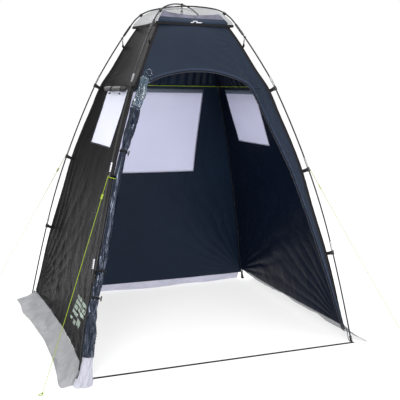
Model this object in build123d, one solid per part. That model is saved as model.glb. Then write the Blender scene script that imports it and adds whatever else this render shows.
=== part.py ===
from build123d import *
import math
import os

os.makedirs("parts", exist_ok=True)

# ---------------------------------------------------------------------------
# Privacy shower tent, pitched.  Millimetres, +Z up.
# Origin: on the ground at the centre of the footprint.  +X is to the right
# when standing in front of the doorway, +Y runs from the doorway to the back.
# ---------------------------------------------------------------------------

# driving dimensions
BASE_W = 1800.0          # foot to foot across the doorway
BASE_D = 1650.0          # foot to foot from the doorway to the back
POLE_D = 9.5             # fibreglass rod
POLE_CROSS_LOW = 2157.0  # rod axis of the lower arc where the two poles cross
POLE_CROSS_GAP = 10.5    # spacing of the two rod axes at the crossing
FERRULE_OD = 13.0
FERRULE_ID = 11.8
FERRULE_LEN = 58.0
SLEEVE_OD = 15.0         # black sleeve over each rod at the roof corner
CLIP_OD = 18.0
CLIP_LEN = 26.0
TAB_W = 22.0             # webbing
TAB_T = 1.8
CLOTH = 1.2              # closed solid standing for a sheet of fabric
HEM_LEFT = 46.0          # height of the wall's bottom edge above the ground
HEM_RIGHT = 96.0
HEM_BACK = 64.0
WALL_TOP = 2030.0
WIN_SIDE_W = 480.0       # side window
WIN_BACK_W = 650.0       # back window
WIN_TOP = 1585.0
WIN_SIDE_BOTTOM = 1243.0
WIN_BACK_BOTTOM = 983.0
BLIND_R = 18.0
BLIND_Z = 1606.0
GUY_D = 3.0
LINE_D = 5.0             # washing line inside
LINE_Z = 1634.0
SKIRT_REACH_X = 1020.0
SKIRT_REACH_Y = 985.0

HW = BASE_W / 2
HD = BASE_D / 2
DIAG = math.hypot(HW, HD)

LEGS = {"fl": (-1, -1), "fr": (1, -1), "bl": (-1, 1), "br": (1, 1)}


def interp(tab, z):
    if z <= tab[0][0]:
        return tab[0][1]
    for (a, fa), (b, fb) in zip(tab, tab[1:]):
        if z <= b:
            return fa + (fb - fa) * (z - a) / (b - a)
    return tab[-1][1]


# plan scale of the fabric's corner at a height: 1 is the foot of the pole
FAB = [(0, 0.985), (30, 0.976), (200, 0.933), (400, 0.890), (580, 0.846), (870, 0.763),
       (1113, 0.6965), (1300, 0.630), (1455, 0.568), (1628, 0.500),
       (1742, 0.431), (1800, 0.399), (1900, 0.344), (1961, 0.307), (2030, 0.262)]


def fx(z):
    return HW * interp(FAB, z)


def fy(z):
    return HD * interp(FAB, z)


# how far the middle of a wall pulls in between its two corners
SAG = [(0, 26.0), (600, 30.0), (1300, 30.0), (1650, 26.0), (1850, 14.0), (2030, 4.0)]


def sag(s, z):
    return interp(SAG, z) * (1.0 - s * s)


def export(node, shapes, color=None):
    if not isinstance(shapes, (list, tuple)):
        shapes = [shapes]
    solids = []
    for sh in shapes:
        solids.extend(sh.solids())
    comp = solids[0] if len(solids) == 1 else Compound(children=solids)
    comp.label = node
    export_step(comp, "parts/%s.step" % node)
    return comp


# --- thin closed solids built from flat triangles ---------------------------

def tri(a, b, c):
    return Face(Wire.make_polygon([Vector(*a), Vector(*b), Vector(*c)], close=True))


def thin(verts, cells, off):
    """verts: outer points; cells: lists of 3 or 4 indices, all wound the same
    way; off: one vector, or a function of a point, to the other skin."""
    inner = []
    for v in verts:
        o = off(v) if callable(off) else off
        inner.append((v[0] + o[0], v[1] + o[1], v[2] + o[2]))
    edges = {}
    tris = []
    for c in cells:
        if len(c) == 4:
            tris += [(c[0], c[1], c[2]), (c[0], c[2], c[3])]
        else:
            tris.append(tuple(c))
    for t in tris:
        for i in range(3):
            e = (t[i], t[(i + 1) % 3])
            edges[e] = edges.get(e, 0) + 1
    faces = []
    for t in tris:
        a, b, c = (verts[i] for i in t)
        faces.append(tri(a, b, c))
        a, b, c = (inner[i] for i in t)
        faces.append(tri(a, c, b))
    for (a, b) in edges:
        if (b, a) not in edges:
            faces.append(tri(verts[b], verts[a], inner[a]))
            faces.append(tri(verts[b], inner[a], inner[b]))
    solid = Solid(Shell(faces))
    if solid.volume < 0:
        solid = Solid(Shell([-f for f in faces]))
    return solid


def grid_cells(nr, nc, base=0, skip=()):
    out = []
    for r in range(nr - 1):
        for c in range(nc - 1):
            if (r, c) in skip:
                continue
            i = base + r * nc + c
            out.append([i, i + 1, i + nc + 1, i + nc])
    return out


def compact(verts, cells):
    used = sorted({i for c in cells for i in c})
    m = {k: n for n, k in enumerate(used)}
    return [verts[k] for k in used], [[m[i] for i in c] for c in cells]


# --- the pole's line in its own upright diagonal plane ----------------------
# (distance from the centre, height)
LEG = [(1221.0, 12.0), (1140.0, 345.0), (1064.0, 625.0), (979.0, 895.0), (878.0, 1158.0),
       (763.0, 1417.0), (635.0, 1672.0), (542.0, 1814.0), (432.0, 1966.0), (378.0, 2035.0)]
ROOF_SHOULDER = [(378.0, 2035.0), (220.0, 2136.0)]


def at(leg, r, z):
    sx, sy = LEGS[leg]
    return Vector(sx * HW * r / DIAG, sy * HD * r / DIAG, z)


def rod(path, radius):
    return sweep(Plane(origin=path @ 0, z_dir=path % 0) * Circle(radius), path)


def arc3(leg, a, b, c):
    return ThreePointArc(at(leg, *a), at(leg, *b), at(leg, *c))


def pole_r(z):
    """distance from the centre of the rod's axis at a height, on the leg"""
    for i in (0, 2, 4, 6):
        (r0, z0), (r1, z1), (r2, z2) = LEG[i], LEG[i + 1], LEG[i + 2]
        if z <= z2:
            l0 = (z - z1) * (z - z2) / ((z0 - z1) * (z0 - z2))
            l1 = (z - z0) * (z - z2) / ((z1 - z0) * (z1 - z2))
            l2 = (z - z0) * (z - z1) / ((z2 - z0) * (z2 - z1))
            return r0 * l0 + r1 * l1 + r2 * l2
    return interp([(LEG[8][1], LEG[8][0]), (LEG[9][1], LEG[9][0])], z)


def pole_dir(leg, z):
    d = at(leg, pole_r(z + 12), z + 12) - at(leg, pole_r(z - 12), z - 12)
    return d.normalized()


GAP = 0.4
sections = {"a": [], "b": []}
for leg in LEGS:
    which = "a" if leg in ("fl", "br") else "b"
    for i in (0, 2, 4, 6):
        p = [LEG[i], LEG[i + 1], LEG[i + 2]]
        e = arc3(leg, *p)
        n = e.length
        e = e.trim(0.0 if i == 0 else GAP / n, 1.0 - GAP / n)
        sections[which].append(rod(e, POLE_D / 2))

roof_arcs = {}
shoulder = {}
for which, legs, zc in (("a", ("fl", "br"), POLE_CROSS_LOW + POLE_CROSS_GAP),
                        ("b", ("bl", "fr"), POLE_CROSS_LOW)):
    l0, l1 = legs
    s = ROOF_SHOULDER
    mid = ThreePointArc(at(l0, *s[1]), Vector(0, 0, zc), at(l1, *s[1]))
    # shoulder arcs run on from the flat middle arc with no kink
    e1 = TangentArc(at(l0, *s[1]), at(l0, *s[0]), tangent=(mid % 0) * -1)
    e3 = TangentArc(at(l1, *s[1]), at(l1, *s[0]), tangent=mid % 1)
    shoulder[l0], shoulder[l1] = e1, e3
    print("roof arc", which, "shoulder radius", round(e1.radius), "middle radius", round(mid.radius))
    w = Wire([e1.trim(0.0, 1.0 - GAP / e1.length), mid, e3.trim(0.0, 1.0 - GAP / e3.length)])
    solids = [rod(e1.trim(0.0, 1.0 - GAP / e1.length), POLE_D / 2), rod(mid, POLE_D / 2),
              rod(e3.trim(0.0, 1.0 - GAP / e3.length), POLE_D / 2)]
    roof_arcs[which] = solids[0] + solids[1] + solids[2]

# the short straight run under each black corner sleeve
for leg in LEGS:
    which = "a" if leg in ("fl", "br") else "b"
    a = at(leg, *LEG[8])
    b = at(leg, *LEG[9])
    d = (b - a).normalized()
    sections[which].append(rod(Line(a + d * GAP, b - d * GAP), POLE_D / 2))

export("pole_a_sections", sections["a"])
export("pole_b_sections", sections["b"])
export("roof_arc_a", roof_arcs["a"])
export("roof_arc_b", roof_arcs["b"])


def tube(origin, direction, od, bore, length):
    pl = Plane(origin=origin, z_dir=direction)
    return pl * (Cylinder(od / 2, length) - Cylinder(bore / 2, length + 2))


ferrules = []
for leg in LEGS:
    for i in (2, 4, 6):
        r, z = LEG[i]
        ferrules.append(tube(at(leg, r, z), pole_dir(leg, z), FERRULE_OD, FERRULE_ID, FERRULE_LEN))
export("pole_ferrules", ferrules)

sleeves = []
for leg in LEGS:
    a = at(leg, *LEG[8])
    b = at(leg, *LEG[9])
    d = (b - a).normalized()
    mid = a + (b - a) * 0.5
    sleeves.append(tube(mid, d, SLEEVE_OD, POLE_D + 0.9, (b - a).length - 4.0))
export("corner_sleeves", sleeves)

# end cap with a crossbar: the foot the rod stands on
feet = []
for leg in LEGS:
    base = at(leg, LEG[0][0], LEG[0][1])
    d = (at(leg, *LEG[1]) - base).normalized()
    sx, sy = LEGS[leg]
    cap = Plane(origin=base + d * 10.4, z_dir=d) * (Cylinder(8.0, 22) - Pos(0, 0, 0.5) * Cylinder(POLE_D / 2 + 0.4, 22))
    floor_pt = Vector(base.X, base.Y, 0)
    pad = Pos(base.X, base.Y, 2.5) * Cylinder(11.0, 5.0)
    bar_dir = Vector(sx * HD, -sy * HW, 0).normalized()
    bar = Plane(origin=Vector(base.X, base.Y, 8.0), z_dir=bar_dir) * Cylinder(4.2, 30.0)
    feet.append((cap + pad + bar) - Plane(origin=base + d * 40, z_dir=d) * Cylinder(POLE_D / 2 + 0.4, 80.1))
export("pole_feet", feet)


# --- fabric walls ------------------------------------------------------------

def wall_side(sign, hem):
    """left (sign -1) or right (sign 1) wall with its window cut out"""
    zs = [hem, 330.0, 580.0, 850.0, 1113.0, WIN_SIDE_BOTTOM, 1415.0, WIN_TOP, 1680.0, 1830.0, WALL_TOP]
    w = WIN_SIDE_W / 2
    verts = []
    for z in zs:
        zz = min(max(z, WIN_SIDE_BOTTOM), WIN_TOP)
        sw = w / fy(zz)
        for s in (-1.0, -sw, 0.0, sw, 1.0):
            hem_arch = 0.0
            if z == hem:
                hem_arch = 10.0 * (1.0 - s * s)
            zz2 = z + hem_arch
            verts.append((sign * (fx(zz2) - sag(s, zz2)), s * fy(zz2), zz2))
    r0 = zs.index(WIN_SIDE_BOTTOM)
    r1 = zs.index(WIN_TOP)
    hole = {(r, c) for r in range(r0, r1) for c in (1, 2)}
    cells = grid_cells(len(zs), 5)
    wall = [c for n, c in enumerate(cells) if (n // 4, n % 4) not in hole]
    pane = [c for n, c in enumerate(cells) if (n // 4, n % 4) in hole]
    off = (-sign * CLOTH, 0, 0)
    a = thin(*compact(verts, wall), off)
    b = thin(*compact(verts, pane), off)
    return a, b


def wall_back(hem):
    zs = [hem, 330.0, 580.0, 850.0, WIN_BACK_BOTTOM, 1200.0, 1400.0, WIN_TOP, 1680.0, 1830.0, WALL_TOP]
    w = WIN_BACK_W / 2
    inset = CLOTH + 1.6
    verts = []
    for z in zs:
        zz = min(max(z, WIN_BACK_BOTTOM), WIN_TOP)
        sw = w / fx(zz)
        for s in (-1.0, -sw, 0.0, sw, 1.0):
            k = (fx(z) - inset) / fx(z)
            verts.append((s * fx(z) * k, fy(z) - sag(s, z), z))
    r0 = zs.index(WIN_BACK_BOTTOM)
    r1 = zs.index(WIN_TOP)
    hole = {(r, c) for r in range(r0, r1) for c in (1, 2)}
    cells = grid_cells(len(zs), 5)
    wall = [c for n, c in enumerate(cells) if (n // 4, n % 4) not in hole]
    pane = [c for n, c in enumerate(cells) if (n // 4, n % 4) in hole]
    off = (0, -CLOTH, 0)
    return thin(*compact(verts, wall), off), thin(*compact(verts, pane), off)


left_wall, left_window = wall_side(-1, HEM_LEFT)
right_wall, right_window = wall_side(1, HEM_RIGHT)
back_wall, back_window = wall_back(HEM_BACK)
export("left_wall", left_wall)
export("left_window", left_window)
export("right_wall", right_wall)
export("right_window", right_window)
export("back_wall", back_wall)
export("back_window", back_window)

# front panel: header over an arched doorway, with a strip down each side
# half width of the doorway at a height (straight below, arched above)
DOOR = [(60.0, 866.0), (330.0, 789.0), (580.0, 718.0), (850.0, 639.0), (1113.0, 549.0),
        (1376.0, 440.0), (1529.0, 378.0), (1621.0, 338.0)]
ARCH = [(338.0, 1621.0), (300.0, 1660.0), (239.0, 1690.0), (160.0, 1714.0), (80.0, 1728.0), (0.0, 1731.0)]
inset = CLOTH + 1.6


def front_y(x, z):
    s = max(-1.0, min(1.0, x / fx(z)))
    return -(fy(z) - sag(s, z))


fverts = []
top_cols = []
ARCH_LEFT = [(-(fx(1600.0) - inset - 14.0), 1600.0), (-412.0, 1622.0), (-363.0, 1652.0), (-300.0, 1679.0),
             (-239.0, 1699.0), (-160.0, 1716.0), (-80.0, 1728.0)]
arch_pts = ARCH_LEFT + [(0.0, 1731.0)] + [(x, z) for x, z in reversed(ARCH[:-1])]
zc = ARCH[0][1]
row0 = [(-(fx(1590.0) - inset), 1590.0)] + arch_pts + [(fx(zc) - inset, zc)]
x_span = fx(zc) - inset
for zrow in (None, 1830.0, WALL_TOP):
    for (x, z) in row0:
        if zrow is None:
            fverts.append((x, front_y(x, z), z))
        else:
            span = x_span if x > 0 else fx(1590.0) - inset
            xx = (x / span) * (fx(zrow) - inset)
            fverts.append((xx, front_y(xx, zrow), zrow))
ncol = len(row0)
cells = grid_cells(3, ncol)
# right-hand side strip, from the springing of the arch to the ground
heights = [z for z, _ in reversed(DOOR)]
for side in (1,):
    base = len(fverts)
    for z in heights[1:]:
        edge = min(interp(DOOR, z), fx(z) - inset - 2.0)
        xs = [-(fx(z) - inset), -edge] if side < 0 else [edge, fx(z) - inset]
        for x in xs:
            fverts.append((x, front_y(x, z), z))
    top = (0, 1) if side < 0 else (ncol - 2, ncol - 1)
    prev = top
    for k in range(len(heights) - 1):
        cur = (base + 2 * k, base + 2 * k + 1)
        cells.append([cur[0], cur[1], prev[1], prev[0]])
        prev = cur
front_panel = thin(fverts, cells, (0, CLOTH, 0))
export("front_panel", front_panel)

# zip tape round the doorway, sewn to the panel's inner edge
zip_pts = ARCH_LEFT[1:] + [(0.0, 1731.0)] + [(x, z) for x, z in reversed(ARCH[:-1])]
zip_pts += [(interp(DOOR, z), z) for z in heights[1:]]
zv = []
ZIP_W = 16.0
for i, (x, z) in enumerate(zip_pts):
    a = zip_pts[max(0, i - 1)]
    b = zip_pts[min(len(zip_pts) - 1, i + 1)]
    tx, tz = b[0] - a[0], b[1] - a[1]
    n = math.hypot(tx, tz)
    nx, nz = tz / n, -tx / n      # points into the opening
    for k in (-2.0, ZIP_W):
        xx, zz = x + nx * k, z + nz * k
        zv.append((xx, front_y(xx, zz) + CLOTH + 0.3, zz))
door_zip = thin(zv, [[2 * i, 2 * i + 2, 2 * i + 3, 2 * i + 1] for i in range(len(zip_pts) - 1)], (0, 1.6, 0))
export("door_zip", door_zip)

# --- roof --------------------------------------------------------------------
# rings of the mesh dome under the crossed rods: (corner scale, height,
# pull-in of each side's middle, drop of each side's middle)
RINGS = [(0.296, 2040.0, 26.0, 0.0), (0.262, 2072.0, 22.0, 6.0), (0.180, 2117.0, 14.0, 9.0), (0.090, 2134.0, 5.0, 4.0)]
rv = []
for g, z, pull, drop in RINGS:
    x, y = HW * g, HD * g
    rv += [(-x, -y, z), (0, -(y - pull), z - drop), (x, -y, z), (x - pull, 0, z - drop),
           (x, y, z), (0, y - pull, z - drop), (-x, y, z), (-(x - pull), 0, z - drop)]
rv.append((0, 0, 2138.0))
rc = []
for k in range(len(RINGS) - 1):
    for i in range(8):
        j = (i + 1) % 8
        rc.append([8 * k + i, 8 * k + j, 8 * k + 8 + j, 8 * k + 8 + i])
k = 8 * (len(RINGS) - 1)
for i in range(8):
    rc.append([k + i, k + (i + 1) % 8, len(rv) - 1])


def mesh_off(v):
    n = math.hypot(v[0], v[1]) + 1e-9
    if v[2] < 2060:
        return (-v[0] / n * 1.0, -v[1] / n * 1.0, -0.6)
    return (0, 0, -CLOTH)


roof_mesh = thin(rv, rc, mesh_off)
export("roof_mesh", roof_mesh)


def ring_pts(g, pull, z, grow=0.0):
    x, y = HW * g + grow, HD * g + grow
    return [(-x, -y, z), (0, -(y - pull), z), (x, -y, z), (x - pull, 0, z),
            (x, y, z), (0, y - pull, z), (-x, y, z), (-(x - pull), 0, z)]


def band(top, bottom, thick):
    v = list(top) + list(bottom)
    n = len(top)
    inner = []
    for p in v:
        m = math.hypot(p[0], p[1])
        inner.append((p[0] - p[0] / m * thick, p[1] - p[1] / m * thick, p[2]))
    faces = []
    for i in range(n):
        j = (i + 1) % n
        for t in ((i, j, n + j), (i, n + j, n + i)):
            faces.append(tri(*(v[q] for q in t)))
            faces.append(tri(*(inner[q] for q in reversed(t))))
        faces += [tri(v[j], v[i], inner[i]), tri(v[j], inner[i], inner[j]),
                  tri(v[n + i], v[n + j], inner[n + j]), tri(v[n + i], inner[n + j], inner[n + i])]
    s = Solid(Shell(faces))
    if s.volume < 0:
        s = Solid(Shell([-f for f in faces]))
    return s


hem_tape = band(ring_pts(0.296, 26.0, 2039.0, 2.2), ring_pts(0.296, 24.0, 2014.0, 3.4), 1.2)
export("roof_hem_tape", hem_tape)

# fabric band across the front of the roof, just outside the mesh
g0, z0, p0, d0 = RINGS[0]
g1, z1, p1, d1 = RINGS[1]


def roof_front(s, t):
    """s -1..1 across, t 0..1 from the hem up, on the front facets"""
    x = (HW * g0 * (1 - t) + HW * g1 * t) * s
    yc = HD * g0 * (1 - t) + HD * g1 * t
    ym = (HD * g0 - p0) * (1 - t) + (HD * g1 - p1) * t
    a = abs(s)
    y = -(yc * a + ym * (1 - a))
    z = z0 * (1 - t) + z1 * t - (d0 * (1 - t) + d1 * t) * (1 - a)
    return (x, y - 2.2, z + 1.6)


bv = []
SS = (-0.93, -0.5, 0.0, 0.5, 0.86)
for t in (0.02, 0.95):
    for s in SS:
        bv.append(roof_front(s, t))
export("roof_front_band", thin(bv, grid_cells(2, len(SS)), (0, 1.0, 0)))

# webbing wrapped round the two rods where they cross, tied to the roof's middle
posts = []
for (qx, qy) in ((0, 11), (0, -11)):
    posts.append(Pos(qx, qy, POLE_CROSS_LOW + POLE_CROSS_GAP / 2) * Box(6.2, 2.0, 24.6))
plates = [Pos(0, 0, POLE_CROSS_LOW + POLE_CROSS_GAP + 6.4) * Box(9, 24, 2.0),
          Pos(0, 0, POLE_CROSS_LOW - 6.4) * Box(9, 24, 2.0)]
tie = plates[0] + plates[1] + posts[0] + posts[1]
tie += Pos(0, 0, (POLE_CROSS_LOW - 7.2 + 2138.4) / 2) * Cylinder(3.0, POLE_CROSS_LOW - 7.2 - 2138.4)
export("crossing_tie", tie)

# eyelet sewn under the middle of the roof, and the hook that hangs in it
EYE_Z = 2124.0
eye = Pos(0, 0, 2132.6) * Cylinder(4.0, 6.0) + Plane(origin=(0, 0, EYE_Z), z_dir=(1, 0, 0)) * (Cylinder(7.5, 3.0) - Cylinder(4.4, 4.0))
export("roof_eyelet", eye)
hook_pin = Plane(origin=(0, 0, EYE_Z), z_dir=(1, 0, 0)) * Cylinder(2.6, 15.0)
cheek = Plane(origin=(0, 0, 0), z_dir=(1, 0, 0))
hook = hook_pin
for q in (-1, 1):
    hook += Pos(q * 6.3, 0, EYE_Z - 6.0) * Box(2.4, 7.0, 19.0)
hook += Pos(0, 0, EYE_Z - 17.0) * Box(15.0, 7.0, 5.0)
hook += Pos(0, 0, EYE_Z - 24.0) * Cylinder(2.6, 12.0)
hook += Plane(origin=(0, 9.0, EYE_Z - 36.0), z_dir=(1, 0, 0)) * Torus(9.0, 2.6) - Pos(0, 15.0, EYE_Z - 30.0) * Box(8, 12, 13)
export("lantern_hook", hook)

# --- pole clips and their webbing -------------------------------------------
CLIP_LEVELS = (580.0, 1113.0, 1628.0)


def clip_frame(leg, z):
    """plane at the rod's axis: local Z up the rod, local X towards the fabric"""
    o = at(leg, pole_r(z), z)
    w = pole_dir(leg, z)
    sx, sy = LEGS[leg]
    inward = Vector(-sx * HW / DIAG, -sy * HD / DIAG, 0)
    u = (inward - w * inward.dot(w)).normalized()
    return Plane(origin=o, x_dir=u, z_dir=w)


def fabric_gap(leg, z):
    """distance along the clip's local X from the rod's axis to the corner"""
    pl = clip_frame(leg, z)
    best = None
    for k in range(10, 900):
        d = k * 0.1
        p = pl.origin + pl.x_dir * d
        r = math.hypot(p.X, p.Y)
        if r <= DIAG * interp(FAB, p.Z):
            best = d
            break
    return best


clips, tabs, rings_g = [], [], []
for leg in LEGS:
    for z in CLIP_LEVELS:
        pl = clip_frame(leg, z)
        gap = fabric_gap(leg, z)
        c = Cylinder(CLIP_OD / 2, CLIP_LEN) - Cylinder(POLE_D / 2 + 0.4, CLIP_LEN + 2)
        c -= Pos(-CLIP_OD / 2, 0, 0) * Box(CLIP_OD, 5.5, CLIP_LEN + 2)
        c += Pos(CLIP_OD / 2 + 2.0, 0, 0) * Box(8.0, 7.0, CLIP_LEN)
        c -= Pos(CLIP_OD / 2 + 5.0, 0, 0) * Box(7.0, TAB_T + 0.6, TAB_W + 0.8)
        clips.append(pl * c)
        x0 = CLIP_OD / 2 + 2.0
        x1 = gap - 1.0
        t = Pos((x0 + x1) / 2, 0, 0) * Box(x1 - x0, TAB_T, TAB_W)
        tabs.append(pl * t)
export("wall_clips", clips)
export("clip_webbing", tabs)

roof_clips, roof_tabs = [], []
for leg in LEGS:
    o = shoulder[leg] @ 0.45
    d = (shoulder[leg] % 0.45) * -1
    sx, sy = LEGS[leg]
    inward = Vector(-sx * HW / DIAG, -sy * HD / DIAG, 0)
    u = (inward - d * inward.dot(d)).normalized()
    if u.Z > 0:
        u = u * -1
    pl = Plane(origin=o, x_dir=u, z_dir=d)
    c = Cylinder(8.0, 20) - Cylinder(POLE_D / 2 + 0.5, 22)
    c -= Pos(-9, 0, 0) * Box(18, 5.5, 22)
    roof_clips.append(pl * c)
    t = Pos(9.3, 0, 0) * Box(2.0, 10.0, 16.0)
    roof_tabs.append(pl * t)
export("roof_clips", roof_clips)
export("roof_clip_tabs", roof_tabs)

# hook and elastic that pull each wall corner up to its rod
hooks, elastics = [], []
for leg in LEGS:
    z_top = 1950.0
    o = at(leg, pole_r(z_top), z_top)
    w = pole_dir(leg, z_top)
    ring = Plane(origin=o, z_dir=w) * Torus(8.4, 2.2)
    drop = Vector(o.X, o.Y, z_top - 14.0)
    zb = 1884.0
    rb = DIAG * interp(FAB, zb) + 5.0
    end = at(leg, rb, zb)
    start = at(leg, math.hypot(o.X, o.Y) - 4.0, z_top - 11.0)
    d = (end - start).normalized()
    stem = Plane(origin=start + d * 14.0, z_dir=d) * Cylinder(3.4, 26.0)
    hooks.append(ring + stem)
    s2 = start + d * 27.4
    ln = (end - s2).length
    elastics.append(Plane(origin=s2 + d * (ln / 2), z_dir=d) * Cylinder(2.2, ln))
export("corner_hooks", hooks)
export("corner_elastics", elastics)

# strap from each foot up to the corner of the walls
foot_straps = []
for leg in LEGS:
    b = at(leg, LEG[0][0], 0)
    hem = {"fl": HEM_LEFT, "bl": HEM_BACK, "br": HEM_BACK, "fr": HEM_RIGHT}[leg] + 6.0
    c = at(leg, DIAG * interp(FAB, hem) + 16.0, hem - 4.0)
    sx, sy = LEGS[leg]
    s0 = Vector(b.X - sx * 14.0 * HW / DIAG, b.Y - sy * 14.0 * HD / DIAG, 4.0)
    d = c - s0
    side = Vector(sx * HD, -sy * HW, 0).normalized()
    pl = Plane(origin=s0 + d * 0.5, x_dir=d.normalized(), z_dir=d.normalized().cross(side))
    foot_straps.append(pl * Pos(-3.0, 0, 0) * Box(d.length - 10.0, 14.0, 1.6))
export("foot_straps", foot_straps)

# strap on the ground between the two front feet
fl = at("fl", LEG[0][0], 0)
fr = at("fr", LEG[0][0], 0)
TH_Y = -HD - 26.6
strap = Pos(0, TH_Y, 0.9) * Box(BASE_W + 10.0, 19.0, 1.8)
for sx in (-1, 1):
    strap += Pos(sx * HW, TH_Y + 12.2, 0.9) * Box(10.0, 5.6, 1.8)
export("threshold_strap", strap)

# --- ground skirts -----------------------------------------------------------

def frac(i, n):
    return i / (n - 1.0)


def skirt(points_hem, points_mid, points_out):
    n = len(points_hem)
    v = list(points_hem) + list(points_mid) + list(points_out)
    return v, grid_cells(3, n)


def bump(i, a=1.0):
    return a * (0.5 + 0.5 * math.sin(i * 2.3 + 0.7))


# left: from the wall's bottom edge out over the ground
ys = [-915, -720, -520, -330, -140, 50, 250, 450, 640, 800]
outx = [-1020, -1003, -988, -980, -976, -990, -996, -1020, -1012, -1018]
h, m, o = [], [], []
for i, (y, x) in enumerate(zip(ys, outx)):
    s = max(-1.0, min(1.0, y / fy(60)))
    hx = -(fx(60) - sag(s, 60) * 0.9) - 2.2
    yy = max(-fy(60) + 2, min(fy(60) - 2, y))
    h.append((hx, yy, HEM_LEFT + 8 + 6.0 * (1 - s * s)))
    m.append(((hx + x) / 2, (yy + y) / 2, 15.0 + bump(i, 12.0)))
    o.append((float(x), float(y), CLOTH + bump(i + 1, 6.0) * (0 if i in (0, 3, 7, 9) else 1)))
v, c = skirt(h, m, o)
export("left_skirt", thin(v, c, (0, 0, -CLOTH)))

# right
ys = [-884, -700, -520, -340, -150, 40, 250, 450, 640, 800]
outx = [998, 986, 990, 1004, 1012, 1018, 1020, 1012, 1004, 1000]
h, m, o = [], [], []
for i, (y, x) in enumerate(zip(ys, outx)):
    s = max(-1.0, min(1.0, y / fy(100)))
    hx = (fx(100) - sag(s, 100) * 0.9) + 2.2
    yy = max(-fy(100) + 2, min(fy(100) - 2, y))
    h.append((hx, yy, HEM_RIGHT + 10 + 6.0 * (1 - s * s)))
    m.append((hx * 0.45 + x * 0.55, (yy + y) / 2, 26.0 + bump(i, 12.0)))
    o.append((float(x), float(y), CLOTH + bump(i, 5.0) * (0 if i in (0, 4, 9) else 1)))
v, c = skirt(h, m, o)
export("right_skirt", thin(v, c, (0, 0, -CLOTH)))

# back: drops to the ground and turns outwards
xs = [-840, -640, -440, -240, -40, 160, 360, 560, 740, 850]
iny = [818, 816, 806, 786, 770, 778, 790, 806, 822, 830]
h, m, o = [], [], []
for i, (x, y) in enumerate(zip(xs, iny)):
    s = x / fx(64)
    hy = fy(HEM_BACK + 2) - sag(s, 64) + 4.0
    h.append((max(-fx(70) + 4, min(fx(70) - 4, x)), hy, HEM_BACK + 8))
    m.append((float(x), float(y), CLOTH + 2.0 + bump(i, 6.0)))
    o.append((x * 1.02, SKIRT_REACH_Y - bump(i, 26.0) * (0 if i in (2, 6) else 1), CLOTH))
v, c = skirt(h, m, o)
export("back_skirt", thin(v, c, lambda p: ((0, -CLOTH, 0) if p[2] > 40 else ((0, -0.5, -CLOTH) if p[1] < 900 else (0, 0, -CLOTH)))))

# --- rolled blinds and their ties -------------------------------------------

def capped_roll(length, r):
    body = Cylinder(r, length)
    tip = Cone(r, r * 0.35, 26.0)
    return body + Pos(0, 0, length / 2 + 13.0) * tip + Pos(0, 0, -length / 2 - 13.0) * Rot(180, 0, 0) * tip


def blind(axis_point, axis_dir, length, out):
    """out: unit vector from the wall to the roll"""
    return Plane(origin=axis_point, z_dir=axis_dir) * capped_roll(length, BLIND_R)


STAND = BLIND_R + 3.0
# walls' middles at the blind's height, from the sagged surface
xs_l = fx(BLIND_Z) - sag(0, BLIND_Z)
ys_b = fy(BLIND_Z) - sag(0, BLIND_Z)
# each roll: axis point, axis, length, outward direction
ends = sag(0, BLIND_Z) - sag(WIN_SIDE_W / 2 / fy(BLIND_Z), BLIND_Z)
# every roll is on the outside and clears the wall where the wall stands furthest out
LX = -(fx(BLIND_Z) - sag(0.60, BLIND_Z)) - STAND
RX = -LX
BY = (fy(BLIND_Z) - sag(0.70, BLIND_Z)) + STAND
export("left_blind_roll", blind(Vector(LX, 0.0, BLIND_Z), Vector(0, 1, 0), WIN_SIDE_W, None))
export("right_blind_roll", blind(Vector(RX, 0.0, BLIND_Z), Vector(0, 1, 0), WIN_SIDE_W, None))
export("back_blind_roll", blind(Vector(0.0, BY, BLIND_Z), Vector(1, 0, 0), WIN_BACK_W, None))

loops = []
toggles = {}
TOG_R = 4.0
TOG_L = 26.0
TOG_Z = BLIND_Z - 30.0


def tie(name, centre, axis, out):
    """strap round a roll, with a stud that carries the toggle"""
    pl = Plane(origin=centre, z_dir=axis)
    loop = pl * (Cylinder(BLIND_R + 2.4, 12.0) - Cylinder(BLIND_R + 0.3, 14.0))
    o2 = Vector(*out)
    tip = centre + o2 * (BLIND_R + 2.0)
    low = Vector(tip.X, tip.Y, TOG_Z)
    plate_mid = centre + o2 * (BLIND_R + 2.7)
    plate = Plane(origin=Vector(plate_mid.X, plate_mid.Y, (BLIND_Z + TOG_Z) / 2 - 2.0), z_dir=o2, x_dir=axis)
    loop += plate * Box(8.0, BLIND_Z - TOG_Z + 8.0, 1.8)
    stud_len = 10.4
    stud = Plane(origin=Vector(low.X, low.Y, low.Z) + o2 * (0.9 + stud_len / 2), z_dir=o2) * Cylinder(1.4, stud_len)
    loop += stud
    loops.append(loop)
    c = Vector(low.X, low.Y, low.Z) + o2 * 7.0
    bar = Plane(origin=c, z_dir=axis) * Cylinder(TOG_R, TOG_L)
    bar += Plane(origin=c, z_dir=o2) * Cylinder(4.4, 7.6)
    bar -= Plane(origin=c, z_dir=o2) * Cylinder(1.46, 30.0)
    toggles[name] = (c, o2, bar)


tie("toggle_left_front", Vector(LX, -200.0, BLIND_Z), Vector(0, 1, 0), (-1, 0, 0))
tie("toggle_left_back", Vector(LX, 40.0, BLIND_Z), Vector(0, 1, 0), (-1, 0, 0))
tie("toggle_right_front", Vector(RX, -200.0, BLIND_Z), Vector(0, 1, 0), (1, 0, 0))
tie("toggle_right_back", Vector(RX, 70.0, BLIND_Z), Vector(0, 1, 0), (1, 0, 0))
tie("toggle_back_right", Vector(155.0, BY, BLIND_Z), Vector(1, 0, 0), (0, 1, 0))
tie("toggle_back_left", Vector(-155.0, BY, BLIND_Z), Vector(1, 0, 0), (0, 1, 0))
export("blind_ties", loops)
for n, (c, o2, bar) in toggles.items():
    export(n, bar)
    print("joint", n, [round(q / 1000, 5) for q in (c.X, c.Y, c.Z)], [o2.X, o2.Y, o2.Z])

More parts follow.
